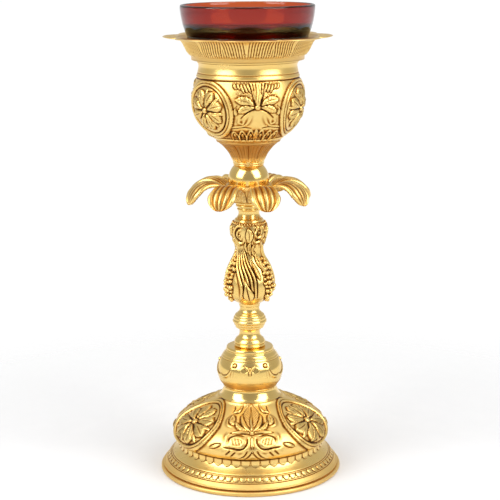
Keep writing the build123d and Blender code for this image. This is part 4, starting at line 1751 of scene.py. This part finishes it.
@dataclass
class GlassCup:
    """The moulded red glass: a thick foot and a wide shallow basin."""

    columns: int = 192
    floor: float = 248.55
    foot: Path = ((30.0, 248.55), (31.5, 249.0), (32.3, 250.2), (33.4, 252.6), (34.6, 256.6),
                  (35.3, 261.2), (35.3, 262.4))
    basin: Path = ((35.9, 263.8), (37.1, 266.9), (38.1, 271.0), (38.8, 275.0), (39.15, 278.6),
                   (38.9, 279.6), (38.2, 280.0), (37.4, 279.7), (37.15, 278.8))
    inside: Path = ((36.7, 273.6), (35.5, 268.4), (32.4, 264.8), (30.6, 261.0), (29.8, 256.4),
                    (28.2, 253.2), (25.0, 252.1), (0.0, 252.0))

    def build(self, material: bpy.types.Material) -> None:
        """Makes the cup as one closed skin.

        Args:
            material: the glass.
        """
        turn = Turning(0.0, self.floor + 0.6).curve((15.0, self.floor + 0.5), (26.0, self.floor + 0.3))
        turn.curve(*self.foot).curve(*self.basin, steps=8)
        skin = np.array(turn.curve(*self.inside, steps=8).points)
        skin[0, 0] = skin[-1, 0] = 0.0
        count = self.columns
        body = skin[1:-1]
        angle = np.arange(count) * 2 * np.pi / count
        ring = np.stack([body[:, 0, None] * np.sin(angle), -body[:, 0, None] * np.cos(angle),
                         np.broadcast_to(body[:, 1, None], (len(body), count))], axis=-1)
        ends = np.array([[0, 0, skin[0, 1]], [0, 0, skin[-1, 1]]])
        corners = np.concatenate([ring.reshape(-1, 3), ends]) * MM
        row = np.arange(len(body) - 1)[:, None] * count
        here = np.arange(count)[None, :]
        after = (here + 1) % count
        quads = np.stack([row + here, row + after, row + count + after, row + count + here],
                         axis=-1).reshape(-1, 4)
        low = len(body) * count
        last = (len(body) - 1) * count
        fans = np.concatenate([
            np.stack([after[0], here[0], np.full(count, low)], axis=-1),
            np.stack([last + here[0], last + after[0], np.full(count, low + 1)], axis=-1)])
        mesh = bpy.data.meshes.new("glass_cup_moulded")
        mesh.from_pydata(corners.tolist(), [], quads.tolist() + fans.tolist())
        mesh.polygons.foreach_set("use_smooth", np.full(len(mesh.polygons), True))
        mesh.validate()
        piece = bpy.data.objects.new("glass_cup_moulded", mesh)
        bpy.context.scene.collection.objects.link(piece)
        dress(piece, material, Slot.GLASS, "glass_cup", body=Body.GLASS)


@dataclass
class Fasteners:
    """The hidden bar, washers, nuts and threaded rod that pull the lamp together."""

    rod_radius: float = 3.0
    low: float = 3.0
    high: float = 212.0
    threaded: float = 24.0
    pitch: float = 1.0
    depth: float = 0.55
    chamfer: float = 0.8
    columns: int = 24
    steps_per_turn: int = 10
    plain: tuple[str, ...] = ("foot_bridge", "base_washer", "base_lock_washer", "base_nut",
                              "bowl_washer", "bowl_lock_washer", "bowl_nut")

    def build(self, material: bpy.types.Material, nodes: dict[str, bpy.types.Object]) -> None:
        """Gives the plain nodes their finish and makes the threaded rod.

        Args:
            material: the zinc steel.
            nodes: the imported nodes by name.
        """
        for name in self.plain:
            nodes[name].data.materials.clear()
            nodes[name].data.materials.append(material)
        step = self.pitch / self.steps_per_turn
        low = np.arange(self.low, self.low + self.threaded, step)
        middle = np.linspace(self.low + self.threaded, self.high - self.threaded, 20)[1:-1]
        high = np.arange(self.high - self.threaded, self.high + 0.001, step)
        level = np.concatenate([low, middle, high])
        turn = np.arange(self.columns) / self.columns
        phase = (level[None, :] / self.pitch - turn[:, None]) % 1.0
        depth = self.depth * np.abs(phase - 0.5) * 2.0
        near = np.minimum(level - self.low, self.high - level)
        cut = np.where(near < self.threaded, 1.0, 0.0)[None, :]
        shape = -depth * cut - 0.5 * np.clip(1.0 - near / self.chamfer, 0, 1)[None, :]
        outline = Outline(np.column_stack([np.full(level.shape, self.rod_radius), level]),
                          np.array([(0.02, self.high), (0.02, self.low)]))
        rod = turned_piece("tie_rod_threaded", outline, self.columns, shape)
        dress(rod, material, Slot.STEEL, "tie_rod")


@dataclass
class Studio:
    """The pale floor, the soft lights, the surroundings and the camera.

    The lights and the floor are in metres, the camera in millimetres, and every angle in degrees.
    """

    softbox_turn: float = 55.0
    softbox_height: float = 37.0
    softbox_distance: float = 1.15
    softbox_size: Point = (0.74, 0.95)
    softbox_power: float = 10.0
    top_power: float = 2.4
    top_height: float = 78.0
    top_size: Point = (0.9, 0.9)
    lamp_middle: float = 0.14
    front_shade: float = 0.40
    back_shade: float = 0.62
    floor_shade: float = 1.02
    floor_radius: float = 0.42
    camera_distance: float = 840.0
    camera_aside: float = 0.5
    camera_height: float = 317.0
    camera_tilt: float = 12.22
    camera_roll: float = 0.38
    lens: float = 103.6

    def _softbox(self, name: str, turn: float, height: float, size: Point, power: float) -> None:
        """Hangs one softbox aimed at the lamp's middle.

        Args:
            name: the light's name.
            turn: its azimuth in degrees from -Y.
            height: its elevation in degrees.
            size: its width and height in metres.
            power: its power in watts.
        """
        lamp = bpy.data.lights.new(name, "AREA")
        lamp.shape = "RECTANGLE"
        lamp.size, lamp.size_y = size
        lamp.energy = power
        flat = math.cos(math.radians(height)) * self.softbox_distance
        hung = bpy.data.objects.new(name, lamp)
        hung.location = (flat * math.sin(math.radians(turn)), -flat * math.cos(math.radians(turn)),
                         self.lamp_middle + math.sin(math.radians(height)) * self.softbox_distance)
        hung.rotation_euler = (math.radians(90 - height), 0.0, math.radians(turn))
        bpy.context.scene.collection.objects.link(hung)

    def _surroundings(self) -> None:
        """Makes the room: white below the horizon, grey above it and darker in front."""
        world = bpy.data.worlds.new("white_room")
        world.use_nodes = True
        tree = world.node_tree
        tree.nodes.clear()
        place = tree.nodes.new("ShaderNodeTexCoord")
        split = tree.nodes.new("ShaderNodeSeparateXYZ")
        tree.links.new(place.outputs["Generated"], split.inputs[0])
        shades = []
        for axis, low, high, dark, pale in (("Y", -0.9, 0.9, self.front_shade, self.back_shade),
                                            ("Z", 0.02, -0.02, 0.0, 1.0)):
            step = tree.nodes.new("ShaderNodeMapRange")
            for key, value in (("From Min", low), ("From Max", high), ("To Min", dark),
                               ("To Max", pale)):
                step.inputs[key].default_value = value
            tree.links.new(split.outputs[axis], step.inputs["Value"])
            shades.append(step.outputs[0])
        above, below = shades
        mix = tree.nodes.new("ShaderNodeMix")
        tree.links.new(below, mix.inputs[0])
        tree.links.new(above, mix.inputs[2])
        mix.inputs[3].default_value = self.floor_shade
        light = tree.nodes.new("ShaderNodeBackground")
        tree.links.new(mix.outputs[0], light.inputs["Strength"])
        output = tree.nodes.new("ShaderNodeOutputWorld")
        tree.links.new(light.outputs[0], output.inputs[0])
        light.inputs["Color"].default_value = rgba(1.0, 1.0, 1.0)
        bpy.context.scene.world = world

    def build(self, floor: bpy.types.Material) -> None:
        """Sets up the studio.

        Args:
            floor: the floor's material.
        """
        bpy.ops.mesh.primitive_circle_add(vertices=96, radius=self.floor_radius, fill_type="NGON")
        ground = bpy.context.object
        ground.name = "floor"
        ground.data.materials.append(floor)
        ground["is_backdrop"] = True
        for name, side in (("softbox_left", -1), ("softbox_right", 1)):
            self._softbox(name, self.softbox_turn * side, self.softbox_height, self.softbox_size,
                          self.softbox_power)
        self._softbox("softbox_top", 180.0, self.top_height, self.top_size, self.top_power)
        self._surroundings()
        lens = bpy.data.cameras.new("camera")
        lens.lens = self.lens
        lens.sensor_width = 36.0
        lens.clip_start = 0.05
        eye = bpy.data.objects.new("camera", lens)
        place = (self.camera_aside * MM, -self.camera_distance * MM, self.camera_height * MM)
        tilt = math.radians(90.0 - self.camera_tilt)
        roll = math.radians(self.camera_roll)
        eye.matrix_world = (Matrix.Translation(place) @ Matrix.Rotation(tilt, 4, "X")
                            @ Matrix.Rotation(-roll, 4, "Z"))
        bpy.context.scene.collection.objects.link(eye)
        bpy.context.scene.camera = eye
        bpy.context.scene.view_settings.view_transform = "Standard"
        bpy.context.scene.view_settings.look = "None"


def write_sizes(after: Sequence) -> None:
    """Defines a helper that turns a box into plain lists of numbers; nothing is written.

    Args:
        after: the visual model's box; not used.
    """
    def plain(value: Sequence) -> list:
        """Returns a box as nested lists."""
        return [[float(number) for number in corner] for corner in value]


def main() -> None:
    """Builds the lamp and its studio."""
    logging.basicConfig(level=logging.INFO, format="%(message)s")
    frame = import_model()
    pressed = Gilding("pressed_gilt", 0.27).build()
    polished = Gilding("polished_gilt", 0.15, grain=0.000008, matting=0.00002).build()
    cast = Gilding("cast_gilt", 0.22, grain=0.00003).build()
    steel = ZincSteel().build()
    Foot().build(pressed)
    Dome().build(pressed)
    Knop().build(polished)
    Stem().build(cast)
    LeafCollar().build(pressed)
    Bowl().build(polished, pressed)
    Gallery().build(pressed)
    GlassCup().build(RubyGlass().build())
    Fasteners().build(steel, frame["nodes"])
    Studio().build(PaleFloor().build())
    write_sizes(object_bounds())


if __name__ == "__main__":
    main()
